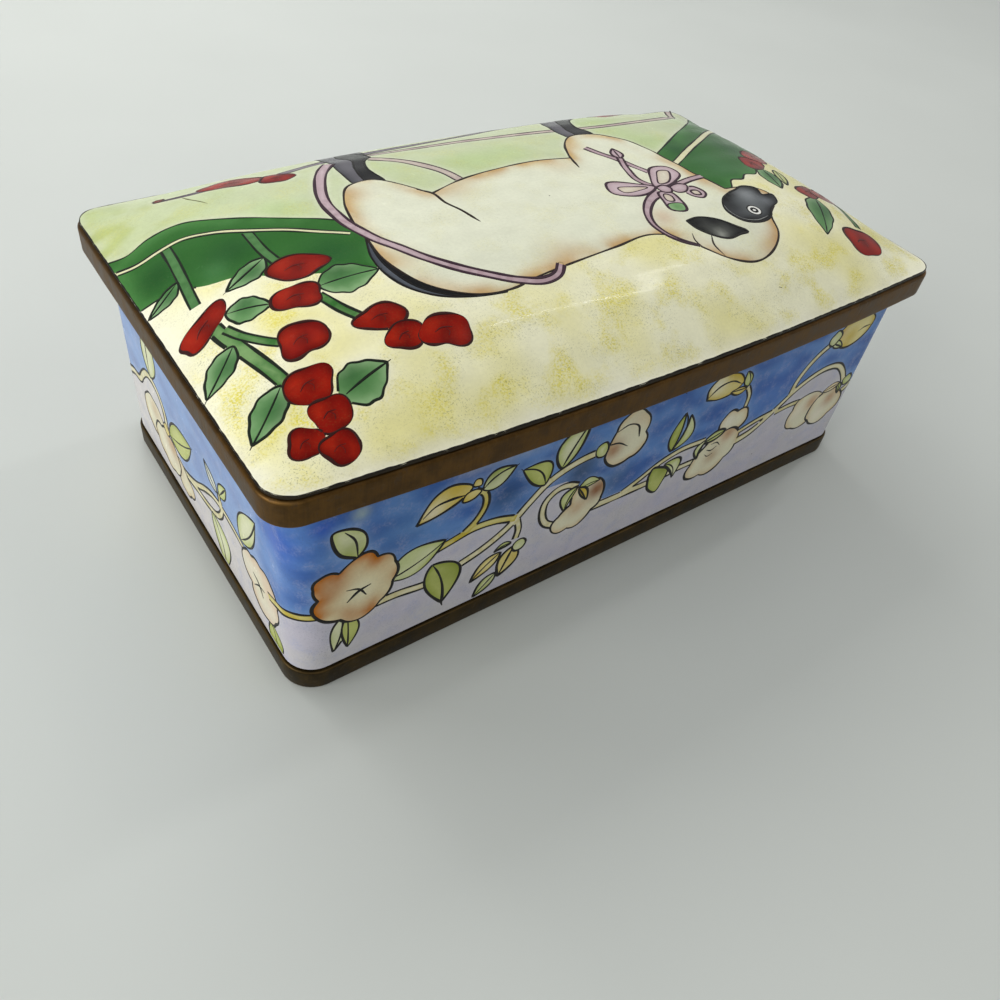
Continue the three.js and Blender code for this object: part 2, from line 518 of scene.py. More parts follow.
class Part:
    """Points in millimetres, faces, and what the whole part or each corner is painted with."""

    def __init__(self, points, faces, finish=0, colours=(0.5, 0.5, 0.5, 0.0), normals=None, rubbed=0.0):
        self.points = np.asarray(points, float)
        self.faces = [tuple(int(i) for i in f) for f in faces]
        self.finish = finish
        self.corners = sum(len(f) for f in self.faces)
        self.colours = np.broadcast_to(np.reshape(colours, (-1, 4)), (self.corners, 4))
        self.normals = np.full(self.points.shape, np.nan) if normals is None else normals
        self.rubbed = np.broadcast_to(rubbed, len(self.points))


def loft(rings, closed=False):
    """Points and four-sided faces that join each ring to the next, and the last to the first if closed."""
    size = len(rings[0])
    count = len(rings)
    faces = []
    for k in range(count if closed else count - 1):
        here, there = k * size, (k + 1) % count * size
        for i in range(size):
            j = (i + 1) % size
            faces.append((here + i, here + j, there + j, there + i))
    return np.concatenate(rings), faces


def make_piece(name, parts, finishes, sharp=35):
    """Joins parts where their points meet into one smooth-shaded piece."""
    points = np.concatenate([part.points for part in parts])
    firsts = np.cumsum([0] + [len(part.points) for part in parts])
    places = np.round(points / MERGE_WITHIN).astype(int)
    _, kept, joined = np.unique(places, axis=0, return_index=True, return_inverse=True)
    joined = joined.reshape(-1)
    faces, colours, normals, finish_of = [], [], [], []
    for part, first in zip(parts, firsts):
        corner = 0
        for face in part.faces:
            numbers = [int(joined[first + i]) for i in face]
            if len(set(numbers)) == len(numbers):
                faces.append(numbers)
                colours.append(part.colours[corner : corner + len(face)])
                normals.append(part.normals[list(face)])
                finish_of.append(part.finish)
            corner += len(face)
    mesh = bpy.data.meshes.new(name)
    mesh.from_pydata((points[kept] * MM).tolist(), [], faces)
    mesh.polygons.foreach_set("material_index", finish_of)
    mesh.shade_smooth()
    mesh.set_sharp_from_angle(angle=math.radians(sharp))
    for finish in finishes:
        mesh.materials.append(finish)
    paint = mesh.color_attributes.new("paint", "FLOAT_COLOR", "CORNER")
    paint.data.foreach_set("color", np.concatenate(colours).ravel())
    rubbed = np.concatenate([part.rubbed for part in parts])[kept]
    mesh.attributes.new("rubbed", "FLOAT", "POINT").data.foreach_set("value", rubbed)
    known = np.concatenate(normals)
    if not np.all(np.isnan(known)):
        found = np.zeros(len(known) * 3)
        mesh.corner_normals.foreach_get("vector", found)
        mesh.normals_split_custom_set(np.where(np.isnan(known), found.reshape(-1, 3), known).tolist())
    piece = bpy.data.objects.new(name, mesh)
    bpy.context.scene.collection.objects.link(piece)
    return piece


# Shader nodes


class Value:
    """A shader socket that can be used in sums."""

    def __init__(self, finish, socket):
        self.finish = finish
        self.socket = socket

    def _sum(self, operation, *values):
        inputs = dict(enumerate(values))
        return self.finish.node("ShaderNodeMath", {"operation": operation}, inputs)

    def __add__(self, other):
        return self._sum("ADD", self, other)

    __radd__ = __add__

    def __sub__(self, other):
        return self._sum("SUBTRACT", self, other)

    def __rsub__(self, other):
        return self._sum("SUBTRACT", other, self)

    def __mul__(self, other):
        return self._sum("MULTIPLY", self, other)

    __rmul__ = __mul__

    def between(self, low, high):
        """0 below low, 1 above high and smooth between them."""
        settings = {"interpolation_type": "SMOOTHSTEP"}
        inputs = {"Value": self, "From Min": low, "From Max": high}
        return self.finish.node("ShaderNodeMapRange", settings, inputs)


class Finish:
    """A material: a coated surface whose colour, gloss and relief are built from nodes."""

    def __init__(self, name, **constants):
        self.material = bpy.data.materials.new(name)
        self.material.use_nodes = True
        self.tree = self.material.node_tree
        self.tree.nodes.clear()
        self.shader = self.tree.nodes.new("ShaderNodeBsdfPrincipled")
        output = self.tree.nodes.new("ShaderNodeOutputMaterial")
        self.tree.links.new(self.shader.outputs[0], output.inputs["Surface"])
        self.place = self.node("ShaderNodeTexCoord", {}, {}, "Object")
        for socket, value in constants.items():
            self.set(socket.replace("_", " ").title().replace("Ior", "IOR"), value)

    def node(self, kind, settings, inputs, output=0):
        """Adds a node, with its settings made first and its sockets given values or links."""
        made = self.tree.nodes.new(kind)
        for name, value in settings.items():
            setattr(made, name, value)
        for socket, value in inputs.items():
            self._put(made.inputs[socket], value)
        return Value(self, made.outputs[output])

    def _put(self, socket, value):
        if isinstance(value, Value):
            self.tree.links.new(value.socket, socket)
        else:
            socket.default_value = value

    def set(self, socket, value):
        self._put(self.shader.inputs[socket], value)

    def noise(self, size, detail=2.0, stretch=(1, 1, 1), roughness=0.5):
        """Random change whose features are about size millimetres across."""
        scale = [1 / (size * MM * s) for s in stretch]
        place = self.node("ShaderNodeVectorMath", {"operation": "MULTIPLY"}, {0: self.place, 1: scale})
        inputs = {"Vector": place, "Scale": 1.0, "Detail": detail, "Roughness": roughness}
        return self.node("ShaderNodeTexNoise", {}, inputs)

    def dots(self, spacing, radius):
        """1 in small round dots that lie about spacing millimetres apart."""
        inputs = {"Vector": self.place, "Scale": 1 / (spacing * MM)}
        away = self.node("ShaderNodeTexVoronoi", {}, inputs, "Distance")
        return 1 - away.between(0.6 * radius / spacing, radius / spacing)

    def attribute(self, name, output="Color"):
        return self.node("ShaderNodeAttribute", {"attribute_name": name}, {}, output)

    def mix(self, share, first, second, blend="MIX"):
        settings = {"data_type": "RGBA", "blend_type": blend}
        inputs = {0: share, 6: first, 7: second}
        return self.node("ShaderNodeMix", settings, inputs, 2)

    def scaled(self, colour, factor):
        return self.node("ShaderNodeVectorMath", {"operation": "SCALE"}, {0: colour, "Scale": factor})

    def bump(self, height, depth):
        """Relief from a height of 0 to 1, depth millimetres deep."""
        inputs = {"Height": height, "Strength": 1.0, "Distance": depth * MM}
        self.set("Normal", self.node("ShaderNodeBump", {}, inputs))


def opaque(colour):
    return (*rgb(*colour), 1.0)


def painted_enamel(name, fleck_colour, fleck_patch, grain_colour, gloss):
    """Glassy enamel that shows its painted colours, with powdery flecks, dark grain and kiln specks."""
    finish = Finish(name, coat_weight=gloss, coat_roughness=0.05, specular_ior_level=0.08)
    paint = finish.attribute("paint")
    flecked = finish.attribute("paint", "Alpha")
    patches = finish.noise(fleck_patch, 3).between(0.44, 0.7)
    powder = finish.noise(0.27, 1).between(0.34, 0.68)
    colour = finish.mix(flecked * patches * (0.25 + 0.75 * powder), paint, opaque(fleck_colour))
    grain = finish.noise(0.2, 1, roughness=0.8).between(0.54, 0.7)
    grain_patches = finish.noise(4.5, 2).between(0.2, 0.75)
    colour = finish.mix((0.12 + 0.4 * flecked) * grain * grain_patches, colour, opaque(grain_colour))
    brightness = 0.87 + 0.18 * finish.noise(3.2, 3) + 0.14 * finish.noise(0.4, 2)
    colour = finish.scaled(colour, brightness)
    specks = finish.dots(spacing=5.2, radius=0.14) * finish.noise(9, 1).between(0.5, 0.56)
    colour = finish.mix(specks, colour, opaque((40, 38, 26)))
    finish.set("Base Color", colour)
    finish.set("Roughness", 0.16 + 0.16 * finish.noise(1.6, 3) + 0.3 * specks)
    ripple = 0.7 * finish.noise(3.5, 1, stretch=(2.2, 1, 1)) + 0.3 * finish.noise(0.7, 1)
    finish.bump(ripple - 0.5 * specks, 0.045)
    return finish.material


def ink_enamel():
    """Dark brushed lines fired into the enamel."""
    finish = Finish("brushed_ink", specular_ior_level=0.25)
    paint = finish.attribute("paint")
    thin = finish.noise(1.1, 2).between(0.35, 0.8)
    finish.set("Base Color", finish.mix(0.22 * thin, paint, opaque((58, 46, 36))))
    finish.set("Roughness", 0.3 + 0.2 * finish.noise(0.6, 2))
    finish.bump(finish.noise(0.4, 2), 0.01)
    return finish.material


def plain_enamel(name, colour, shade):
    """Unpainted enamel for the inside and the underside, mottled and lightly specked."""
    finish = Finish(name, coat_weight=0.3, coat_roughness=0.1)
    mottle = finish.noise(2.6, 4).between(0.35, 0.7)
    base = finish.mix(mottle, opaque(colour), opaque(shade))
    specks = finish.dots(spacing=3.4, radius=0.12)
    base = finish.mix(specks * finish.noise(6, 1).between(0.48, 0.6), base, opaque((66, 62, 60)))
    finish.set("Base Color", base)
    finish.set("Roughness", 0.2 + 0.2 * finish.noise(1.2, 3))
    finish.bump(finish.noise(2.4, 2), 0.05)
    return finish.material


def aged_bronze(name, dark, middle, bright):
    """Browned bronze with a fine upright grain, rubbed brighter on its edges, mottled and grimy."""
    finish = Finish(name, coat_weight=0.14, coat_roughness=0.2)
    rubbed = finish.attribute("rubbed", "Fac")
    clouds = finish.noise(2.2, 5, roughness=0.6).between(0.34, 0.68)
    grain = finish.noise(0.22, 2, stretch=(1, 1, 14))
    scratches = finish.noise(0.3, 2, stretch=(12, 12, 1))
    colour = finish.mix(clouds, opaque(dark), opaque(middle))
    colour = finish.scaled(colour, 0.66 + 0.68 * grain)
    wear = (rubbed + 0.5 * (scratches - 0.5)).between(0.4, 1.0)
    colour = finish.mix(wear * 0.7, colour, opaque(bright))
    grime = finish.noise(1.1, 3).between(0.58, 0.72)
    colour = finish.mix(grime * 0.4, colour, opaque((36, 26, 12)))
    finish.set("Base Color", colour)
    finish.set("Metallic", 0.96 - 0.25 * grime)
    finish.set("Roughness", 0.5 - 0.12 * wear + 0.14 * clouds + 0.16 * (grain - 0.5))
    finish.bump(0.4 * finish.noise(1.2, 3) + 0.3 * grain + 0.2 * scratches - 0.4 * grime, 0.05)
    return finish.material


# The surfaces that the flat drawings are laid on


def plate_half_width(x):
    """Half the lid plate's width at a place along its length."""
    radius = PLATE_HIGH[0] ** 2 / (2 * BAND_BOW) + BAND_BOW / 2
    return np.sqrt(radius**2 - np.square(x)) - (radius - PLATE_HIGH[1])


def pillow(points, rise, trim=0.0):
    """How high a dome stands above its edge: level in the middle, rounding down to all sides."""
    x, y = points.T
    along = np.clip(np.abs(x) / (PLATE_HIGH[0] - trim), 0, 1)
    across = np.clip(np.abs(y) / (plate_half_width(x) - trim), 0, 1)
    return rise * (1 - along**DOME_POWER_ALONG) * (1 - across**DOME_POWER_ACROSS)


DOME_RISE = PLATE_HIGH[2] - PLATE_EDGE
RIPPLE_DEPTH = 0.03


def dome(points):
    """The height of the lid's glassy face, with slow ripples along its length."""
    x, y = points.T
    rise = pillow(points, DOME_RISE)
    sway = y + 1.6 * np.sin(x / 17 + 0.4) + 0.05 * x
    ripple = np.sin(sway / 0.78 + 0.7 * np.sin(x / 9)) + 0.7 * np.sin(sway / 1.9 + x / 23 + 2)
    calm = np.clip(rise / 2.5, 0, 1)
    return PLATE_EDGE + rise - RIPPLE_DEPTH * calm * (1.9 - ripple)


def lay_on_lid(points, proud=0.0):
    return np.column_stack([points, dome(points) + proud])


def lid_normals(points):
    reach = 0.05
    slopes = [
        (dome(points + step) - dome(points - step)) / (2 * reach)
        for step in (np.array([reach, 0]), np.array([0, reach]))
    ]
    normals = np.column_stack([-slopes[0], -slopes[1], np.ones(len(points))])
    return normals / np.linalg.norm(normals, axis=1)[:, None]


def lay_on_wall(points, proud=0.0):
    """Points given by their distance round the box and their height."""
    place, out = body_line.at(points[:, 0])
    return np.column_stack([place + out * np.reshape(proud, (-1, 1)), points[:, 1]])


def wall_normals(points):
    out = body_line.at(points[:, 0])[1]
    return np.column_stack([out, np.zeros(len(points))])


# Brush strokes


def brush_tree(finish):
    """Turns flat lines into low rounded strokes of paint, as wide as each point says."""
    tree = bpy.data.node_groups.new("brush_stroke", "GeometryNodeTree")
    face = tree.interface
    face.new_socket("Lines", in_out="INPUT", socket_type="NodeSocketGeometry")
    face.new_socket("Sides", in_out="INPUT", socket_type="NodeSocketInt")
    face.new_socket("Flatness", in_out="INPUT", socket_type="NodeSocketFloat")
    face.new_socket("Strokes", in_out="OUTPUT", socket_type="NodeSocketGeometry")

    def add(kind, settings=None, **inputs):
        made = tree.nodes.new(kind)
        for name, value in (settings or {}).items():
            setattr(made, name, value)
        for name, value in inputs.items():
            socket = made.inputs[name.replace("_", " ")]
            if isinstance(value, bpy.types.NodeSocket):
                tree.links.new(value, socket)
            else:
                socket.default_value = value
        return made.outputs[0]

    given = tree.nodes.new("NodeGroupInput")
    lines = add("GeometryNodeMeshToCurve", Mesh=given.outputs["Lines"])
    lines = add("GeometryNodeSetCurveNormal", {"mode": "Z_UP"}, Curve=lines)
    half_width = add("GeometryNodeInputNamedAttribute", {"data_type": "FLOAT"}, Name="half_width")
    circle = add("GeometryNodeCurvePrimitiveCircle", Resolution=given.outputs["Sides"], Radius=1.0)
    flat = add("ShaderNodeCombineXYZ", X=1.0, Y=given.outputs["Flatness"], Z=1.0)
    section = add("GeometryNodeTransform", Geometry=circle, Scale=flat)
    strokes = add(
        "GeometryNodeCurveToMesh", Curve=lines, Profile_Curve=section, Scale=half_width, Fill_Caps=True
    )
    strokes = add("GeometryNodeRealizeInstances", Geometry=strokes)
    strokes = add("GeometryNodeSetMaterial", Geometry=strokes, Material=finish)
    made = tree.nodes.new("NodeGroupOutput")
    tree.links.new(strokes, made.inputs["Strokes"])
    return tree


STROKE_SIDES = 6
STROKE_FLATNESS = 0.16


def brush_strokes(name, drawing, lay_on, tree):
    """The drawing's brush lines as thin raised strokes on the surface."""
    shown = drawing.brush_lines()
    flat = bpy.data.meshes.new(name + "_flat")
    points = np.concatenate([line for line, _, _ in shown])
    edges = []
    first = 0
    for line, _, _ in shown:
        edges.extend((first + i, first + i + 1) for i in range(len(line) - 1))
        first += len(line)
    flat.from_pydata(np.column_stack([points, np.zeros(len(points))]).tolist(), edges, [])
    half_width = np.concatenate([half for _, half, _ in shown])
    flat.attributes.new("half_width", "FLOAT", "POINT").data.foreach_set("value", half_width)
    inks = np.concatenate([np.tile([*ink, 1.0], (len(line), 1)) for line, _, ink in shown])
    flat.attributes.new("paint", "FLOAT_COLOR", "POINT").data.foreach_set("color", inks.ravel())
    scaffold = bpy.data.objects.new(name + "_flat", flat)
    bpy.context.scene.collection.objects.link(scaffold)
    modifier = scaffold.modifiers.new("brush", "NODES")
    modifier.node_group = tree
    values = {"Sides": STROKE_SIDES, "Flatness": STROKE_FLATNESS}
    for socket in tree.interface.items_tree:
        if socket.name in values:
            modifier[socket.identifier] = values[socket.name]
    evaluated = scaffold.evaluated_get(bpy.context.evaluated_depsgraph_get())
    mesh = bpy.data.meshes.new_from_object(evaluated)
    mesh.name = name
    bpy.data.objects.remove(scaffold)
    places = np.zeros(len(mesh.vertices) * 3)
    mesh.vertices.foreach_get("co", places)
    places = places.reshape(-1, 3)
    laid = lay_on(places[:, :2], places[:, 2])
    mesh.vertices.foreach_set("co", (laid * MM).ravel())
    mesh.shade_smooth()
    mesh.update()
    piece = bpy.data.objects.new(name, mesh)
    bpy.context.scene.collection.objects.link(piece)
    return piece


# Colours of the painting

INK = (12, 10, 9)
BERRY_DARK = (84, 6, 4)
BERRY_BRIGHT = (190, 44, 16)
BERRY_INK = (52, 14, 10)
GREEN_INK = (18, 30, 18)
BROWN_INK = (40, 28, 20)
CORD_INK = (66, 54, 56)
LILAC_INK = (58, 34, 48)

PALE_STEM = Paint((232, 226, 196), (212, 202, 150), 0.35)
YELLOW_STEM = Paint((222, 214, 148), (202, 184, 88), 0.45, patchy=0.6)
PALE_LEAF = Paint((224, 226, 188), (192, 200, 130), 0.9, patchy=0.6)
GREEN_LEAF = Paint((196, 202, 120), (160, 170, 78), 0.8, patchy=0.6)
OLIVE = (132, 146, 46)
WHITE_LEAF = Paint((228, 230, 222), (208, 214, 196), 0.6)
BUD = Paint((234, 222, 158), (210, 186, 88), 0.8, patchy=0.6)
PETAL = Paint((230, 226, 196), (220, 202, 162), 0.8, patchy=0.9)
OPEN_PETAL = Paint((226, 214, 172), (194, 138, 84), 1.9, patchy=0.7)
WHITE_PETAL = Paint((230, 222, 200), (220, 198, 170), 1.2, patchy=0.6)
PEACH = (190, 142, 96)
YELLOW = (204, 174, 38)

BROAD_LEAF = Paint((48, 104, 42), (66, 122, 58), 1.4, patchy=0.8)
LEAF_VEIN = Paint((92, 138, 84), (72, 118, 66), 0.5)
CREAM_RIB = Paint((236, 232, 200), (222, 220, 176), 0.4)
SMALL_LEAF = Paint((98, 146, 88), (136, 174, 122), 0.8, patchy=0.9)
LEAF_SHADE = (22, 78, 36)
LID_STEM = Paint((126, 162, 104), (78, 124, 66), 0.5, patchy=0.8)
RED = Paint((146, 18, 4), (104, 6, 2), 0.9, patchy=0.7)
FUR = Paint((230, 232, 208), (208, 182, 140), 1.5, 0.12, patchy=0.7)
MASK = Paint((92, 96, 98), (30, 30, 32), 1.3, patchy=0.5)
EAR = Paint((84, 86, 82), (44, 46, 44), 0.8, patchy=0.4)
LEG = Paint((98, 96, 102), (66, 66, 72), 0.8)
TAIL = Paint((98, 104, 112), (66, 70, 78), 0.5)
BLACK = Paint((34, 34, 36), (24, 24, 26), 0.6)
LILAC = Paint((204, 184, 188), (178, 152, 158), 0.45)
LOOP_FILL = Paint((224, 218, 196), (206, 190, 172), 0.5)
CORD = Paint((214, 202, 186), (186, 168, 162), 0.4)
FAR_CORD = Paint((132, 120, 132), (104, 94, 106), 0.5)
WHITE_DOT = Paint((238, 238, 230), (238, 238, 230), 0.3)


# The walls: a flowering scroll, blue above it and pale below

# How far round the box, to the right and left, the scroll is drawn from listed points before the plainer one
DRAWN_RIGHT = 47.4
DRAWN_LEFT = 106.0
SCROLL_START = 50.0
SCROLL_WAVES = 4.5
SCROLL_MIDDLE = 14.5
SCROLL_SWING = 3.2
SCROLL_PHASE = 0.31
SCROLL_LENGTH = 2 * HALF_ROUND - DRAWN_LEFT - SCROLL_START
# The drawing's two ends meet in the middle of the far side, and run past each other by this much
SEAM_OVERLAP = 0.5


def scroll_height(along):
    """The height of the plainer vine on the hidden sides."""
    turn = 2 * math.pi * SCROLL_WAVES / SCROLL_LENGTH
    return SCROLL_MIDDLE + SCROLL_SWING * np.sin(turn * (along - SCROLL_START) + SCROLL_PHASE)


def wall_limits(points):
    """Keeps points on the painted wall, with a little overlap where the far side's ends meet."""
    margin = 0.25
    low = [-HALF_ROUND - margin, WALL_FOOT + margin]
    high = [HALF_ROUND + margin, BODY_HIGH[2] - margin]
    return np.clip(points, low, high)


def washes(points, size, seed):
    """Slow random change round the walls, leaning with the brush, that meets itself at the far side."""
    def found(shift):
        along, height = points[:, 0] - shift, points[:, 1]
        return cloud(np.stack([along + 0.6 * height, 2.2 * height], 1), size, seed)

    share = smooth_step(points[:, 0], HALF_ROUND - 12, HALF_ROUND)
    return found(0) + share * (found(2 * HALF_ROUND) - found(0))


def halo(points, distance, reach):
    """1 next to a painted shape, falling to 0 over a reach, and 0 where the far side's ends meet."""
    away = smooth_step(HALF_ROUND - np.abs(points[:, 0]), 0.3, 1.5)
    return (away * np.exp(-((distance / reach) ** 2)))[:, None]


def pale_ground(points, distance):
    """The lavender white below the vine, whiter next to the shapes, and painted lighter as painted light on
    the window-lit short end.
    """
    colour = np.tile(rgb(198, 194, 206), (len(points), 1))
    warm = smooth_step(washes(points, 8, 3.1), -0.5, 0.6)[:, None]
    colour += 0.6 * warm * (rgb(206, 203, 200) - colour)
    colour += 0.3 * halo(points, distance, 0.7) * (rgb(222, 220, 222) - colour)
    # Painted light: the short end that the window lights is painted whiter.
    colour += 0.6 * painted_light_on_lit_end(points) * (rgb(222, 216, 208) - colour)
    return np.column_stack([colour, np.full(len(points), 0.55)])


def painted_light_on_lit_end(points):
    """1 on the short end that the window lights, painted lighter there as painted light and painted
    reflection, and 0 elsewhere.
    """
    along = -points[:, 0]
    past_near_corner = smooth_step(along, 57.5, 61)
    before_far_corner = smooth_step(-along, -112, -104)
    return (past_near_corner * before_far_corner)[:, None]


def blue_ground(points, distance):
    """Blue laid in uneven washes, deeper in places and thin next to the shapes, and painted lighter as
    painted light on the window-lit short end.
    """
    patch = smooth_step(washes(points, 6, 8.2), -0.45, 0.5)[:, None]
    colour = rgb(98, 140, 202) + patch * (rgb(58, 98, 170) - rgb(98, 140, 202))
    strokes = smooth_step(washes(points, 1.6, 1.4), 0.0, 0.5)[:, None]
    colour += 0.3 * strokes * (rgb(76, 118, 188) - colour)
    colour += 0.34 * halo(points, distance, 0.65) * (rgb(156, 182, 214) - colour)
    upper = smooth_step(points[:, 1], 30, 34)[:, None]
    colour += 0.5 * upper * (rgb(138, 164, 206) - colour)
    # Painted light: the short end that the window lights is painted a lighter blue.
    colour += 0.45 * painted_light_on_lit_end(points) * (rgb(172, 192, 226) - colour)
    return np.column_stack([colour, np.full(len(points), 0.3)])


def blue_edge():
    """The lower edge of the blue, which runs along under the vine all round."""
    near = [
        (-106, 13.6), (-103, 15.2), (-100.5, 15.9), (-98.6, 18.3), (-96.5, 19.6), (-94.3, 19.6),
        (-92, 18.4), (-90.4, 16), (-89, 12.8), (-86, 10.6), (-83, 10.6), (-80, 12.2), (-77, 14.2),
        (-74, 15), (-70, 15), (-66, 14.6), (-62, 14), (-57.6, 13.4), (-56, 13.4), (-53.5, 14.2),
        (-49.6, 14.5), (-44, 16), (-39, 16.5), (-35, 17.6), (-32.5, 18.1), (-29.5, 18.9), (-25, 18.6),
        (-21.5, 17.6), (-19.2, 19.2), (-17, 20.6), (-13.2, 20.3), (-11, 18.4), (-8, 16), (-5.6, 13.2),
        (-1.6, 13.1), (1, 14.2), (5, 16.2), (8.5, 16.9), (13.5, 16.7), (18, 16.4), (22, 15.8),
        (27, 16.4), (30, 17.1), (33, 19.2), (36, 20.7), (40, 21.6), (43, 21), (45.2, 19.2),
        (46.8, 17.2), (48.4, 16),
    ]
    far = [*np.arange(SCROLL_START, HALF_ROUND, 1.5), HALF_ROUND + SEAM_OVERLAP]
    left = [HALF_ROUND - SEAM_OVERLAP, *np.arange(SCROLL_START + SCROLL_LENGTH, HALF_ROUND, -1.5)[::-1]]
    return (
        [(s - 2 * HALF_ROUND, scroll_height(s)) for s in left]
        + near
        + [(s, scroll_height(s)) for s in far]
    )


def end_wall_scroll(d):
    """The short left end: one open flower, one seen from behind, leaves and buds."""
    vine = "end vine"
    d.stem([(-106, 13.6), (-103.2, 15), (-100.4, 15.5), (-98.6, 17.4), (-96.6, 19), (-94.4, 19.3),
            (-92.2, 18.4), (-90.9, 16.4), (-90.7, 13.6)], 1.15, PALE_STEM, together=vine)
    d.leaf((-94.6, 19.7), (-93.4, 29.5), 2.3, 2.6, PALE_LEAF, rib=0.4)
    d.stem([(-65, 14), (-68.5, 14.8), (-71.5, 15.1), (-74.5, 14.7), (-77.5, 13.3), (-80.5, 11.4),
            (-84, 10), (-88.5, 9.6)], 1.0, PALE_STEM, together=vine)
    d.stem([(-71.7, 16.4), (-71.6, 14.2), (-73.2, 12.1), (-76.4, 10.9), (-80.5, 10.3), (-84.5, 9.6)],
           1.0, PALE_STEM, together=vine)
    d.stem([(-71.8, 14.6), (-71.9, 17.4)], 0.8, PALE_STEM, together=vine)
    d.leaf((-72.4, 17), (-76, 19.9), 1.1, 1.2, WHITE_LEAF, bend=0.3)
    d.leaf((-71.7, 17.2), (-69, 20.6), 1.2, 1.0, PALE_LEAF)
    d.leaf((-75.6, 10.7), (-72.7, 2.2), 3.4, 1.7, PALE_LEAF, bend=0.7, rib=0.5, flick=0.8)
    d.leaf((-89.8, 12.9), (-80.8, 17.7), 2.6, 2.6, GREEN_LEAF, bend=-0.2, rib=-0.3, flick=0.5)
    d.field(scallops([(-98.4, 14.4), (-99.8, 11.6), (-98.6, 9.1), (-95, 8.2), (-92, 12.8), (-95.6, 15.2)],
                     0.16), PETAL, blushes=[Blush(-95.4, 13.4, 2, PEACH, 0.5)])
    d.field(scallops([(-88.6, 10.4), (-88.3, 6.4), (-86.4, 4.9), (-84.2, 5.7), (-82.5, 7.2), (-84.6, 8.9)],
                     0.2), PETAL, blushes=[Blush(-88, 8.6, 1.8, PEACH, 0.6)])
    d.field(scallops([(-90.4, 12.2), (-93.4, 11.8), (-96, 10.4), (-96, 8.2), (-93.6, 6.1), (-90.2, 5.7),
                      (-87.6, 7.6), (-87.9, 10.4)], 0.2), PETAL,
            blushes=[Blush(-89.8, 11, 2.4, PEACH, 0.75), Blush(-92, 8, 1.8, (238, 228, 206), 0.6)])
    d.field(scallops([(-91.9, 12.4), (-90.2, 12.4), (-90.5, 13.7), (-91.7, 13.8)], 0.3), BUD, 0.28)
    d.leaf((-65.6, 15), (-60.3, 22.9), 2.1, 2.3, PALE_LEAF, bend=0.4, rib=-1.1, flick=0.3)
    d.leaf((-57.9, 7), (-57, 1.4), 2.9, 1.2, GREEN_LEAF, rib=0.9)
    open_flower(d, [(-64.6, 14.3), (-62.6, 14.9), (-59.9, 15.4), (-57, 15), (-55.6, 11.7), (-56.4, 8.3),
                    (-58.6, 6.5), (-62.3, 7.1), (-63.1, 9.4), (-65.6, 11.6)], (-60.6, 10.9), WHITE_PETAL,
                [Blush(-58, 12.6, 2.2, (216, 170, 130), 0.5)])


def open_flower(d, cusps, centre, paint=OPEN_PETAL, tints=()):
    """A flower seen from the front, with a small brushed cross at its heart."""
    x, y = centre
    heart = Blush(x, y, 2.1, (232, 228, 196), 0.7)
    d.field(scallops(cusps, 0.17), paint, 0.4, blushes=[*tints, heart])
    d.stroke(through([(x - 1.9, y + 1.1), (x - 0.3, y + 0.5), (x + 0.8, y - 1.2)]), 0.42)
    d.stroke(through([(x - 1.8, y - 1.2), (x - 0.2, y + 0.1), (x + 1.4, y + 0.5)]), 0.4)


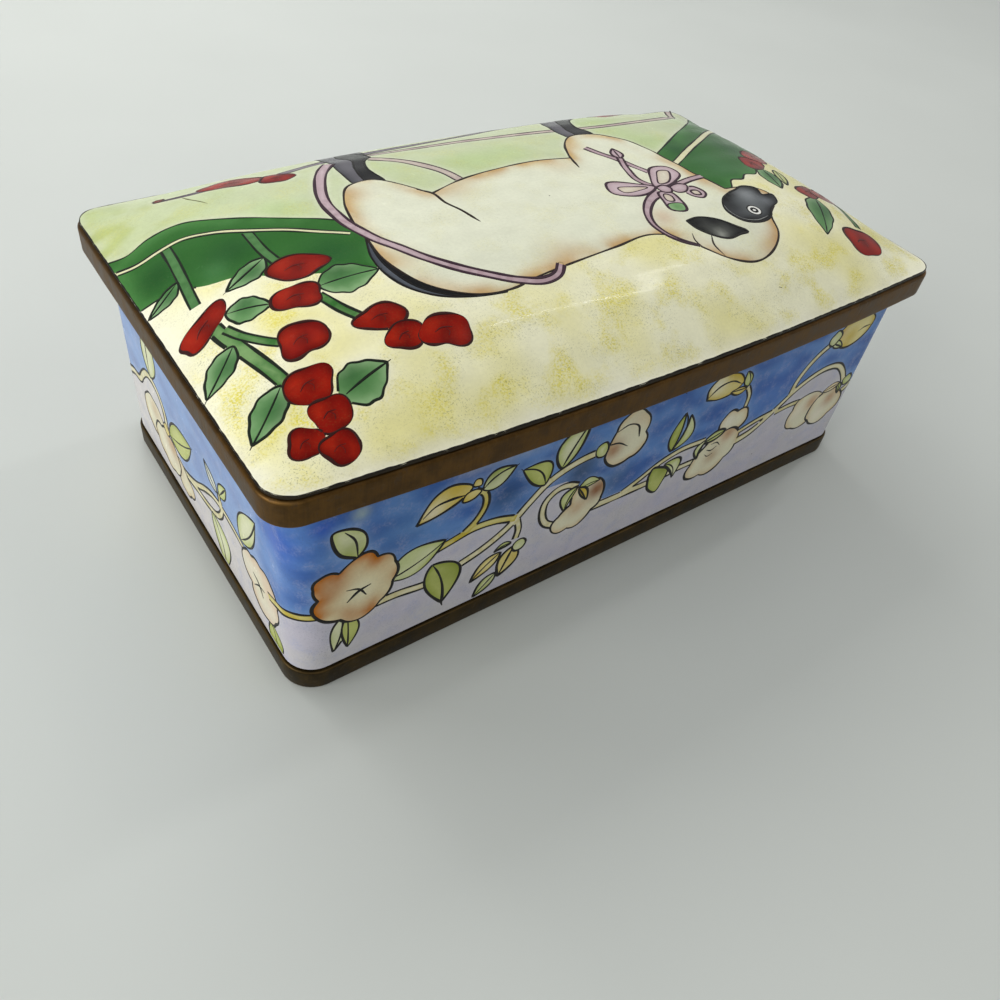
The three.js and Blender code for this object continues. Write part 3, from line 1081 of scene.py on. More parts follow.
def front_scroll_left(d):
    """The near long side, from the corner to the middle."""
    vine = "vine"
    d.stem([(-58, 12.2), (-55.4, 13.1), (-52.6, 14), (-48.6, 14.3)], 1.1, YELLOW_STEM, together=vine)
    d.stem([(-43, 12.2), (-39, 12.2), (-34, 11.6), (-29.6, 12.6), (-25.6, 14), (-22.2, 16.1),
            (-19.4, 19.1), (-16.6, 21.7), (-13.4, 23), (-10.6, 23.5), (-8, 23.5)], 1.25, PALE_STEM,
           together=vine)
    d.stem([(-34.6, 17.3), (-31.4, 18), (-28, 18.7), (-24.8, 18.4), (-21.2, 17.2)], 1.15,
           YELLOW_STEM, together=vine)
    d.stem([(-29.6, 18.4), (-27.7, 20.2), (-26.7, 22.5), (-27.1, 24.5), (-28.6, 25.7)], 1.15,
           YELLOW_STEM, together=vine, tip=0.8)
    d.stem([(-20.9, 16.6), (-20.4, 14.6), (-20.6, 12.9)], 0.95, PALE_STEM, together=vine)
    d.stem([(-11.2, 18.5), (-12.8, 19.3), (-14.8, 19.3), (-16.4, 17.9), (-16.6, 15.6), (-15.7, 13.4),
            (-13.4, 11.8)], 1.1, PALE_STEM)
    # The hooked bud with its cap and the leaf beside it
    d.field(through([(-36.7, 23.5), (-35.8, 25.4), (-34.4, 27.3), (-32.6, 28.1), (-30.6, 27.7), (-29.1, 26.6),
                     (-30.4, 25.2), (-32.6, 24.2), (-34.6, 23.7), (-36.7, 23.5)]), BUD, 0.42,
            blushes=[Blush(-31.6, 27, 1.9, YELLOW), Blush(-34.6, 24.6, 1.4, (232, 222, 194))])
    d.stroke(through([(-35.9, 24.3), (-34.2, 25.6), (-32.2, 25.8), (-30.2, 25.6)]), 0.42)
    d.leaf((-27.5, 25.3), (-22.8, 27.3), 1.6, 1.6, PALE_LEAF, bend=0.2, rib=0.5, flick=0.4, shade=OLIVE)
    d.field(through([(-30.4, 24.5), (-30, 25.6), (-28.6, 25.9), (-27.7, 25.4), (-28.6, 24.4)],
                    closed=True), BUD, 0.28)
    d.field(through([(-29.1, 26.6), (-28.7, 27.6), (-28, 27.4), (-27.8, 26.3)], closed=True), BUD, 0.28)
    # Leaves round the open flower
    d.field(through([(-44.4, 22.2), (-46.5, 23.7), (-47.4, 25.8), (-47.5, 27.7), (-45, 27.4), (-43.5, 26),
                     (-43.3, 23.6), (-44.4, 22.2)]), PALE_LEAF, 0.4,
                     blushes=[Blush(-45.2, 24.2, 1.6, OLIVE, 0.6)])
    d.stroke(through([(-46, 27.3), (-44.8, 25.6), (-44.3, 22.2)]), 0.42)
    d.leaf((-46.4, 12.2), (-47.6, 6.1), 0.7, 1.5, PALE_LEAF, bend=0.5)
    d.leaf((-45.6, 12), (-45.6, 5.8), 1.5, 0.9, GREEN_LEAF, bend=0.1)
    d.leaf((-40, 15.6), (-32.2, 18.8), 2.5, 2.3, PALE_LEAF, bend=0.1, rib=-0.6, flick=0.4,
           shade=(176, 190, 110))
    d.leaf((-33.8, 14.9), (-31.7, 6.2), 3.2, 2.2, GREEN_LEAF, bend=0.5, rib=0.2, width=0.44, flick=0.9,
           shade=OLIVE)
    open_flower(d, [(-49.9, 19.2, 0.1), (-49.7, 20.6, 0.25), (-46.7, 20.7, 0.05), (-44.4, 22.3, 0.3),
                    (-41.7, 21, 0.25), (-39.3, 18.9), (-39.5, 15.4, 0.15), (-41.2, 12.4, 0.1),
                    (-43.6, 10.6, 0.15), (-46.6, 12, 0.1), (-49.6, 14, 0.2), (-49.4, 17.2, 0.1)], (-43.9, 16),
                tints=[Blush(-47.2, 18.6, 2.4, (180, 122, 76), 0.7),
                       Blush(-45.4, 12, 2, (190, 138, 96), 0.5)])
    # The hanging cluster with its round bud
    d.leaf((-21.2, 12.4), (-24, 11.9), 0.4, 0.6, PALE_LEAF, bend=-0.3)
    d.leaf((-22.8, 11.3), (-27.3, 7.6), 1.2, 1.2, BUD, bend=-0.2, width=0.42)
    d.leaf((-23, 7.2), (-26.4, 3.9), 1.0, 1.2, PALE_LEAF, width=0.42)
    d.leaf((-20.6, 11.4), (-22.5, 6.2), 1.9, 1.5, BUD, width=0.44, shade=YELLOW)
    turns = np.linspace(0, 2 * math.pi, 19)[:-1]
    d.field(np.stack([-19.7 + 1.15 * np.cos(turns), 11.2 + 1.15 * np.sin(turns)], 1), PALE_LEAF, 0.4)
    # Leaves along the stem
    d.leaf((-17.3, 21.5), (-21.6, 25.9), 1.2, 2.5, GREEN_LEAF, bend=-0.4, rib=-0.7, flick=0.5)
    d.leaf((-15, 23.3), (-11.4, 30.4), 2.5, 1.5, PALE_LEAF, bend=0.4, rib=-0.2, width=0.4)


def front_scroll_middle(d):
    """The near long side round its middle: two flowers from the side and the forked stem."""
    vine = "vine"
    d.field(scallops([(-6.3, 26.2), (-5.2, 28.2, 0.25), (-1.5, 27.8, 0.2), (-0.5, 24, 0.2),
                      (-0.2, 21.1, 0.15), (-2.4, 19.9, 0.1), (-5.2, 19.5, 0.1), (-7.3, 21.8, 0.05)], 0.15),
            PETAL, 0.4, blushes=[Blush(-6, 22.8, 1.7, (160, 104, 62), 0.85),
                                 Blush(-2.4, 27, 1.6, (216, 192, 158), 0.5)])
    d.stroke(through([(-6.2, 26), (-4.2, 26.6), (-2.4, 25.8), (-1.6, 23.5)]), 0.34)
    d.stroke(through([(-7.6, 24.1), (-5.4, 23.8), (-3.4, 22.5)]), 0.28)
    d.field(through([(-9.1, 24.6), (-7.8, 25), (-7.1, 23.8), (-7.5, 22.4), (-8.7, 22.6), (-9.3, 23.6)],
                    closed=True), PALE_LEAF)
    d.stem([(-7.6, 12.4), (-4, 12.3), (0, 12.3), (5, 12.3), (10, 12.6), (14, 12.6)], 1.35, PALE_STEM,
           together=vine, tip=1.0)
    d.stem([(-1.6, 12.6), (1, 13.7), (5, 15.7), (8.5, 16.6), (14, 16.5)], 1.0, PALE_STEM, together=vine)
    d.field(scallops([(-11.2, 17.8), (-7.1, 18.2, 0.15), (-5.8, 14, 0.2), (-7.2, 12, 0.08), (-9.2, 9.8, 0.12),
                      (-11.2, 10.1, 0.2), (-14, 10.7, 0.25), (-13.4, 13.4, 0.06), (-11.6, 15, 0.1)], 0.15),
            PETAL, 0.4, blushes=[Blush(-7.2, 16, 1.9, (136, 76, 34), 0.95),
                                 Blush(-10.2, 13.8, 1.5, PEACH, 0.6)])
    d.leaf((-11, 18.4), (-12.6, 14.2), 0.5, 1.6, PALE_LEAF, bend=-0.5, width=0.34)
    d.leaf((-10.8, 17.6), (-7, 17.8), 1.3, 0.5, PALE_LEAF, bend=0.2)
    d.leaf((-10.7, 17.8), (-8.7, 14.7), 0.9, 0.4, BUD, width=0.34)
    d.leaf((6.7, 17.3), (7.2, 24.4), 1.7, 0.3, GREEN_LEAF, bend=-0.2, rib=-1.2, width=0.42)
    d.leaf((6.9, 17.4), (8.4, 23.6), 0.2, 2.0, PALE_LEAF, bend=-0.7, width=0.4)
    d.leaf((6.2, 14.9), (9, 11), 1.8, 0.7, PALE_LEAF, bend=0.9, width=0.4)
    d.field(through([(3.4, 13.4), (3.9, 15), (5.6, 14.6), (7.4, 13.4), (7, 11), (6.2, 9.3), (4.2, 10.6),
                     (3.4, 13.4)]), GREEN_LEAF, 0.42, blushes=[Blush(6, 13.4, 1.3, OLIVE, 0.6)])
    # The hooked bud over the fourth flower
    d.stem([(19.6, 24.7), (20.8, 22.7), (21, 20)], 0.8, PALE_STEM)
    d.field(through([(10.8, 25.2), (10.5, 27.2), (11.9, 28.7), (14.8, 28.7), (17, 27.8), (18, 26.2),
                     (16.6, 24.9), (13.4, 24.5), (10.8, 25.2)]), BUD,
            blushes=[Blush(15.8, 27.6, 1.8, YELLOW, 0.5), Blush(12.2, 27.4, 1.6, (236, 232, 210))])
    d.stroke(through([(10.9, 25.6), (12.8, 27), (15.2, 27.2), (17.6, 26)]), 0.34)
    d.leaf((19.6, 24.9), (18.1, 28), 1.2, 0.5, PALE_LEAF, bend=-0.4)
    d.leaf((19.4, 24.6), (15.8, 24.9), 0.9, 0.5, BUD)
    d.field(scallops([(16.8, 17.2), (16.9, 19.8, 0.3), (19.6, 20.1, 0.3), (22.4, 18.6, 0.2), (22, 16.4)],
                     0.2), PETAL, 0.42, blushes=[Blush(18.2, 18.4, 1.6, (240, 234, 214))])
    d.field(scallops([(18.4, 16.7, 0.15), (21.5, 15.8, 0.15), (22.2, 12.8, 0.2), (20.6, 10.2, 0.1),
                      (18.8, 8.3, 0.15), (15.7, 8.6, 0.12), (12.6, 9, 0.2), (12.6, 11.7, 0.1),
                      (14.4, 14.6)], 0.12), PETAL, 0.42,
            blushes=[Blush(19.4, 15.6, 1.5, (184, 134, 96), 0.8),
                     Blush(17.2, 12, 1.6, (176, 136, 94), 0.6)])
    d.leaf((18.3, 16.9), (13.5, 15.8), 0.8, 1.0, PALE_LEAF, width=0.4)
    d.leaf((14.4, 16.4), (13.6, 12.8), 0.3, 1.2, PALE_LEAF, bend=-0.5, width=0.4)
    for start, middle, end in [
        ((15.3, 13), (16.2, 12.3), (17.2, 12.6)),
        ((15.4, 13.9), (16.6, 13.4), (17.6, 13.9)),
        ((16, 14.8), (17.2, 14.8), (18.3, 13.8)),
    ]:
        d.stroke(through([start, middle, end]), 0.26)


def front_scroll_right(d):
    """The near long side, from the fourth flower to the right corner."""
    vine = "vine"
    d.stem([(22, 15.1), (25.4, 15.9), (29.6, 16.4)], 0.9, PALE_STEM, together=vine)
    d.stem([(22.2, 13.4), (25, 14), (28.2, 15.6)], 0.7, YELLOW_STEM, together=vine)
    d.stem([(22.2, 12.9), (24.8, 13.5), (27.4, 15), (30.2, 17), (33, 19.2), (36.2, 20.8), (40, 21.5),
            (43, 20.9), (45.2, 19), (46.6, 17)], 1.1, PALE_STEM, together=vine)
    d.stem([(32.2, 18.4), (32.4, 21), (33.6, 23.5), (35.6, 25.6), (38, 27)], 1.1, PALE_STEM, together=vine)
    d.stem([(30, 15.9), (33.4, 16.2), (37, 16)], 0.9, PALE_STEM, together=vine)
    d.field(through([(38.4, 28.6), (39, 26.6), (40.6, 25.2), (42.6, 24.8), (44.8, 25.4), (46.6, 27), (47, 29),
                     (45, 30.6), (41, 30.6), (38.4, 28.6)]), BUD, 0.4,
            blushes=[Blush(42, 27, 1.8, YELLOW, 0.7), Blush(39.6, 28, 1, (210, 170, 110), 0.6)])
    d.stroke(through([(43.6, 27.4), (45, 27.9), (46.6, 27.9)]), 0.26)
    d.leaf((37.8, 26.8), (41, 25.3), 0.8, 0.6, PALE_LEAF)
    d.field(scallops([(37.2, 26.6), (39, 26.9), (38.8, 28.8), (37.4, 28.6)], 0.3), PALE_LEAF, 0.34)
    d.field(scallops([(35.6, 16.3), (35.2, 14.4, 0.1), (34.7, 12.2, 0.2), (37, 9.9, 0.15), (41, 9.8, 0.1),
                      (42, 15.6, 0.1), (38.4, 16.9, 0.05)], 0.15), PETAL, 0.36,
            blushes=[Blush(39.8, 14.6, 1.6, (190, 138, 96), 0.8), Blush(36.6, 13.4, 1.6, (238, 228, 204))])
    d.field(scallops([(41.4, 15, 0.1), (40.2, 11.8, 0.2), (41.3, 10, 0.1), (43, 8.6, 0.2), (46.8, 9.7, 0.1),
                      (48.6, 11.4, 0.15), (47.4, 14.4)], 0.2), PETAL, 0.36,
            blushes=[Blush(45, 13.6, 1.7, (184, 134, 96), 0.8), Blush(43.4, 10.6, 1.8, (238, 230, 208))])
    d.leaf((46, 16.5), (41.8, 15.7), 0.7, 0.8, PETAL)
    d.leaf((46, 16.5), (46.8, 14), 0.6, 0.5, PALE_LEAF)
    d.field(scallops([(46.8, 16.3), (48.6, 15.8), (48.6, 17.3), (47.2, 17.4)], 0.3), PALE_LEAF, 0.3)


def hidden_scroll(d):
    """The right end and the far side: the same vine in a plainer, even rhythm."""
    end = SCROLL_START + SCROLL_LENGTH
    for start, stop, beyond in (
        (DRAWN_RIGHT, HALF_ROUND + SEAM_OVERLAP, False),
        (HALF_ROUND - SEAM_OVERLAP, end + 1, True),
    ):
        steps = np.arange(start, stop, 2.0)
        line = [(s, scroll_height(s)) for s in [*steps, stop]]
        d.stem(wrapped(line, beyond), 1.15, PALE_STEM)
    half_wave = SCROLL_LENGTH / (2 * SCROLL_WAVES)
    radius = 4.3
    for k in range(int(2 * SCROLL_WAVES)):
        crest = SCROLL_START + half_wave * (k + 0.4)
        up = 1 if k % 2 == 0 else -1
        beyond = crest > HALF_ROUND
        height = float(scroll_height(crest))
        for offset, lean in ((-5.6, 2.2), (5.4, -2.0)):
            base = (crest + offset, float(scroll_height(crest + offset)) + 0.4 * up)
            tip = (base[0] + lean, base[1] + 6.2 * up)
            base, tip = wrapped([base, tip], beyond)
            d.leaf(base, tip, 1.5, 1.7, PALE_LEAF if up > 0 else GREEN_LEAF, rib=0.2, flick=0.4)
        if k % 3 == 1:
            root = (crest, height)
            tip = (crest + 1.5, height + 7.6 * up)
            root, tip = wrapped([root, tip], beyond)
            d.leaf(root, tip, 1.8, 1.9, BUD, rib=0.5)
        else:
            turn = 0.3 * k
            cusps = [
                (crest + radius * math.cos(a), height + 1.2 * up + radius * math.sin(a))
                for a in np.linspace(turn, turn + 2 * math.pi, 7)[:-1]
            ]
            cusps = wrapped(cusps, beyond)
            open_flower(d, cusps, tuple(np.mean(cusps, axis=0)))


def wrapped(points, beyond):
    """Points past the middle of the far side are counted from the other way round."""
    shift = 2 * HALF_ROUND if beyond else 0
    return [(x - shift, y) for x, y in points]


def wall_drawing():
    d = Drawing(wall_limits, INK)
    top = BODY_HIGH[2] + 1
    edge = evenly(blue_edge(), 0.8)
    past = HALF_ROUND + SEAM_OVERLAP
    sky = np.concatenate([[(-past, top)], edge, [(past, top)]])
    d.field(sky, blue_ground, 0, blushes=[
        Blush(-54.4, 25.4, 3.4, (52, 96, 196), 0.8),
        Blush(-55, 19.6, 3.6, (124, 162, 222), 0.6),
        Blush(-44, 29.4, 1.1, (176, 194, 186), 0.75),
        Blush(-48.6, 29.2, 1.4, (40, 84, 196), 0.7),
        Blush(-45.4, 26.6, 0.5, (196, 206, 190), 0.6),
        Blush(-23.6, 22.6, 3.2, (44, 76, 120), 0.8),
        Blush(-11, 21.4, 3.2, (54, 72, 98), 0.8),
        Blush(-4, 16.4, 3, (70, 94, 130), 0.6),
        Blush(27, 22, 5, (62, 108, 190), 0.6),
        Blush(-38, 24, 5, (84, 126, 176), 0.5),
        *[Blush(x, 31.2, 1.9, (206, 210, 206), 0.75) for x in (-29.6, -27, -24.4, -21.8, -19)],
    ])
    hidden_scroll(d)
    end_wall_scroll(d)
    front_scroll_left(d)
    front_scroll_middle(d)
    front_scroll_right(d)
    return d


# The lid: an animal of plain drawing among broad leaves and red berries


def plate_limits(points):
    """Keeps points on the lid plate, clear of its edge."""
    margin = 0.05
    x = np.clip(points[:, 0], -PLATE_HIGH[0] + margin, PLATE_HIGH[0] - margin)
    reach = plate_half_width(x) - margin
    return np.stack([x, np.clip(points[:, 1], -reach, reach)], 1)


def lid_ground(points, distance):
    """Cream towards the edges, yellow on the near half and pale green on the far half."""
    x, y = points.T
    divide = np.interp(x, [-54, -30, 24, 54], [10, 0, 0, 14])
    far = smooth_step(y - divide, -3, 3)[:, None]
    near_colour = rgb(246, 244, 210) + smooth_step(cloud(points, 8, 2.2), -0.3, 0.6)[:, None] * (
        rgb(240, 234, 166) - rgb(246, 244, 210)
    )
    far_colour = rgb(202, 212, 172) + smooth_step(cloud(points, 9, 5.4), -0.2, 0.7)[:, None] * (
        rgb(190, 208, 152) - rgb(202, 212, 172)
    )
    colour = near_colour + far * (far_colour - near_colour)
    edge = np.minimum(PLATE_HIGH[0] - np.abs(x), plate_half_width(x) - np.abs(y))
    pale = np.exp(-((np.clip(edge, 0, None) / 1.6) ** 2))[:, None] * (1 - 0.9 * far)
    colour += 0.5 * pale * (rgb(248, 246, 226) - colour)
    near = np.exp(-((distance / 0.6) ** 2))[:, None]
    colour += 0.3 * near * (rgb(240, 238, 224) - colour)
    corner = np.exp(-(((x + 52) / 9) ** 2) - (((y + 24) / 9) ** 2))
    olive = np.exp(-(((x + 54) / 9) ** 2) - (((y - 20) / 9) ** 2))
    olive *= 0.3 + 0.7 * smooth_step(cloud(points, 2.6, 4.4), -0.1, 0.5)
    colour += 0.7 * olive[:, None] * (rgb(170, 184, 92) - colour)
    flecks = (1 - far[:, 0]) * (0.6 + 0.4 * corner) * (0.3 + 0.7 * smooth_step(edge, 0.2, 2.4)) + 0.16
    return np.column_stack([colour, np.clip(flecks - 0.35 * near[:, 0], 0, 1)])


def broad_leaves(d):
    """Two broad leaves with cream midribs, one at each end of the lid."""
    upper = through([(-55, 16.7), (-52.4, 15.2), (-49.6, 15.7), (-46, 15.2), (-42.5, 12.7), (-37.4, 8.2),
                     (-30.4, 2.8)])
    lower = through([(-31, -8.2), (-34, -7.4), (-37.5, -5.6), (-40.4, -3.9), (-44, -0.4), (-47.7, 1.5),
                     (-50.4, 3.7), (-55, 5.2)])
    d.field(np.concatenate([upper, [(-27, -2)], lower]), BROAD_LEAF, 0.28, GREEN_INK,
            edges=[upper, lower[-26:]], blushes=[Blush(-51, 8, 3, (26, 74, 32), 0.7),
                                                 Blush(-43.4, 4.6, 3.4, (34, 84, 38), 0.8),
                                                 Blush(-34, -3, 3.2, (32, 86, 40), 0.7),
                                                 Blush(-46, 2.8, 1.6, (70, 124, 70), 0.7)])
    for points in (
        [(-48.7, 11.6), (-49, 7.6), (-49.4, 4), (-49.9, -0.6)],
        [(-40.3, 6.8), (-40.4, 3.3), (-40, -1)],
    ):
        d.stem(points, 1.15, LEAF_VEIN, 0.28, ink=GREEN_INK)
    d.stem([(-55, 13.9), (-52.2, 12.3), (-49.5, 12.1), (-46.6, 11.7), (-43.6, 9.8), (-40.1, 7), (-36.4, 4.1),
            (-30.4, -0.6)], 0.6, CREAM_RIB, 0.26, ink=GREEN_INK)
    upper = through([(21, 1.6), (27, 5.1), (33, 8.8), (40, 13.4), (47, 19), (55, 26)])
    lower = through([(55, 7), (48, 2.4), (41.4, -1.6), (37.4, -4.6), (35.2, -6.6), (32.6, -6.6), (31, -7.7),
                     (28.6, -7.6), (26.8, -9.4), (22, -9.2)])
    d.field(np.concatenate([upper, lower]), BROAD_LEAF, 0.28, GREEN_INK, edges=[upper, lower],
            blushes=[Blush(30, -3, 3.6, (60, 112, 62), 0.7), Blush(27, 3, 2.4, (30, 80, 40), 0.6),
                     Blush(40, 3, 4, (34, 84, 44), 0.6)])
    d.stem([(21, -2.2), (28.8, 2.2), (34.2, 5.2), (43.1, 10.8), (55, 19)], 1.0, CREAM_RIB, 0.26,
           ink=GREEN_INK)


def cords(d):
    """Thin cords that loop across the far half of the lid."""
    d.stem([(-45.6, 24.6), (-42, 22.8), (-38, 21.6)], 0.4, FAR_CORD, 0.24, ink=CORD_INK, tip=1.0)
    d.stem([(-31, 19), (-24, 20.8), (-16, 21.6), (-9, 21.8), (0, 22.6), (10, 24.6), (24, 28)], 1.3,
           FAR_CORD, 0.3, ink=CORD_INK)
    d.stem([(-16.6, 20), (-10, 19.4), (-2.6, 18.8), (5.2, 17.6), (12.9, 16.3), (18.8, 15.1), (27, 14.8),
            (37.6, 17), (48, 24), (54, 31)], 1.1, CORD, 0.3, ink=CORD_INK)
    d.stem([(-17.6, 17.8), (-15.1, 15.2), (-13.4, 12.5), (-11.7, 9.7), (-10.6, 5.6)], 1.3, CORD, 0.3,
           ink=CORD_INK)


def animal(d):
    """A cream cat with dark points on its way across the lid, seen from the side, in plain brush lines."""
    ink = BROWN_INK
    # The far and near legs run up to the lid's far edge, darker on one side
    for points, paint in (
        ([(-24.2, 8.8), (-23.9, 14), (-22.9, 19.4), (-22.4, 24), (-20, 28.4), (-15.4, 28.4), (-15.8, 24),
          (-16.8, 20), (-17.2, 18.4), (-18.9, 17.4), (-19.9, 14.6), (-20.6, 8.8)], LEG),
        ([(-18.6, 26), (-20.4, 22), (-20, 18.6), (-21.4, 15), (-22.2, 11.6), (-22, 8.8), (-20.6, 8.8),
          (-20, 14.2), (-18.8, 17), (-17.2, 18.6), (-16.8, 22), (-18.6, 26)], BLACK),
        ([(13.2, 11.4), (13.2, 14.4), (14.4, 18.8), (17.1, 24), (21, 28.6), (28, 28.4), (24.4, 24.6),
          (20.6, 20.8), (18.1, 16.8), (17.4, 11.4)], LEG),
        ([(22, 26), (18.6, 21.6), (16.4, 17.6), (15.4, 14.6), (15.6, 11.6), (17.4, 11.6), (18.1, 16.8),
          (20.6, 20.8), (24.4, 25), (22, 26)], BLACK),
    ):
        d.field(through(points), paint, 0.3, INK)
    # The tail lies against the haunch and tapers into the belly line
    outer = through([(-29.3, -2.4), (-30.7, -6.4), (-30.4, -11.2), (-27.8, -14.9), (-23.6, -16.9),
                     (-19, -17.6)])
    inner = through([(-19, -17.3), (-23.4, -16.3), (-26.7, -14.1), (-28.8, -10.9), (-29.6, -7),
                     (-29.1, -2.4)])
    d.field(np.concatenate([outer, inner]), TAIL, 0.3, INK)
    shade = through([(-20, -17.2), (-24, -16.6), (-27.4, -14.6), (-29.5, -11.2), (-30, -7), (-29.2, -2.8)])
    d.field(np.concatenate([inner[::-1], shade]), BLACK, 0.24, INK)
    # One outline for the haunch, back, shoulder, head and belly
    haunch = through([(-29.2, -2.4), (-28.8, 1.8), (-27.6, 6.2), (-24.8, 10.1), (-21.6, 10.4),
                      (-18.8, 7.6), (-16.3, 3.6)])
    back = through([(-16.3, 3.6), (-11.2, 5.5), (-4, 6.6), (3.5, 6.8), (8.4, 5.8)])
    shoulder = through([(8.4, 5.8), (10.4, 9.6), (14.2, 12.7), (18.2, 11.8), (21.2, 7.8), (23, 0.6),
                        (24, -5.6), (25.4, -9.4)])
    head = through([(25.4, -9.4), (28.6, -9.6), (31.2, -10.4), (32.6, -12.8), (30.8, -14.6), (27.9, -16.8),
                    (26.8, -19.4), (23.7, -21.9), (19, -23), (14.4, -21.3), (11.6, -18.6), (8.2, -15.6)])
    belly = through([(8.2, -15.6), (6.2, -15), (-0.4, -15.4), (-7.4, -16), (-13.7, -16.7), (-18.6, -17.4),
                     (-22.6, -16.8), (-26.2, -14.6), (-28.6, -11.2), (-29.6, -7), (-29.2, -2.4)])
    lines = [haunch, back, shoulder, head, belly]
    d.field(np.concatenate([line[:-1] for line in lines]), FUR, 0.3, ink, edges=lines, blushes=[
        Blush(-26, 8, 2.4, (206, 176, 130), 0.7), Blush(-12.6, 4.4, 2.6, (208, 182, 138), 0.6),
        Blush(5.4, 5.4, 2.8, (210, 186, 146), 0.5), Blush(11, 9.4, 2, (206, 178, 132), 0.6),
        Blush(-8, -15.4, 3, (206, 176, 132), 0.6), Blush(25, -22.4, 3, (198, 160, 116), 0.6),
        Blush(30.6, -15, 1.6, (204, 168, 124), 0.6), Blush(10.4, -12.4, 2, (206, 170, 138), 0.6),
        Blush(23.6, -6.6, 1.6, (208, 178, 136), 0.6), Blush(-28, -8, 2.4, (212, 192, 150), 0.6),
    ])
    d.stroke(through([(-17.6, 5.4), (-16.3, 3.6), (-16, 1), (-15.2, -1.5), (-14.4, -4.8)]), 0.44, ink)
    d.stroke(through([(9, 7), (8.2, 4.9), (7.7, 2.8)]), 0.36, ink)
    # The dark mask with its eye, and the dark ear
    mask = through([(25.3, -10.4), (22.6, -11.7), (21.2, -13.9), (22, -16.3), (24.6, -17.3), (27.6, -16.9),
                    (29.7, -15.1), (32.4, -13.7), (32.9, -12.3), (30.7, -12), (31.1, -10.4), (29, -9.4),
                    (27, -10)], closed=True)
    d.field(mask, MASK, 0.34, INK, blushes=[Blush(27.6, -11.6, 1.7, (146, 150, 152), 0.8),
                                            Blush(23, -13.6, 1.6, (34, 34, 36), 0.7),
                                            Blush(30, -13.4, 1.2, (120, 124, 128), 0.7)])
    d.stroke(through([(21.9, -12.4), (21.6, -13.9), (22.3, -15.9), (24.6, -16.9), (27.4, -16.6)]), 0.13,
             (150, 152, 148))
    d.field(through([(13.2, -14.1), (15.4, -13.9), (17.9, -14.9), (20, -17), (21.4, -18.4), (19.8, -18.5),
                     (17.4, -18.7), (14.9, -17.4), (13.4, -15.6), (13.2, -14.1)]), EAR, 0.34, INK,
            blushes=[Blush(14.4, -14.6, 1.5, (22, 22, 24), 0.95), Blush(17.4, -15, 1.7, (22, 22, 24), 0.95),
                     Blush(20.2, -17.2, 1.5, (30, 30, 32), 0.95),
                     Blush(16.6, -17.9, 0.9, (170, 172, 162), 0.7)])
    for points in (
        [(14.9, -17.5), (14.1, -19), (14.4, -21.2)],
        [(12.1, -16.5), (11.7, -17.6), (12.1, -19.2)],
    ):
        d.stroke(through(points), 0.34, ink)
    turns = np.linspace(0, 2 * math.pi, 25)[:-1]
    circle = np.stack([np.cos(turns), 0.94 * np.sin(turns)], 1)
    for radius, paint in ((1.15, WHITE_DOT), (0.68, BLACK), (0.26, WHITE_DOT)):
        d.field(np.array([26, -15]) + radius * circle, paint, 0.2 if radius > 1 else 0, INK)


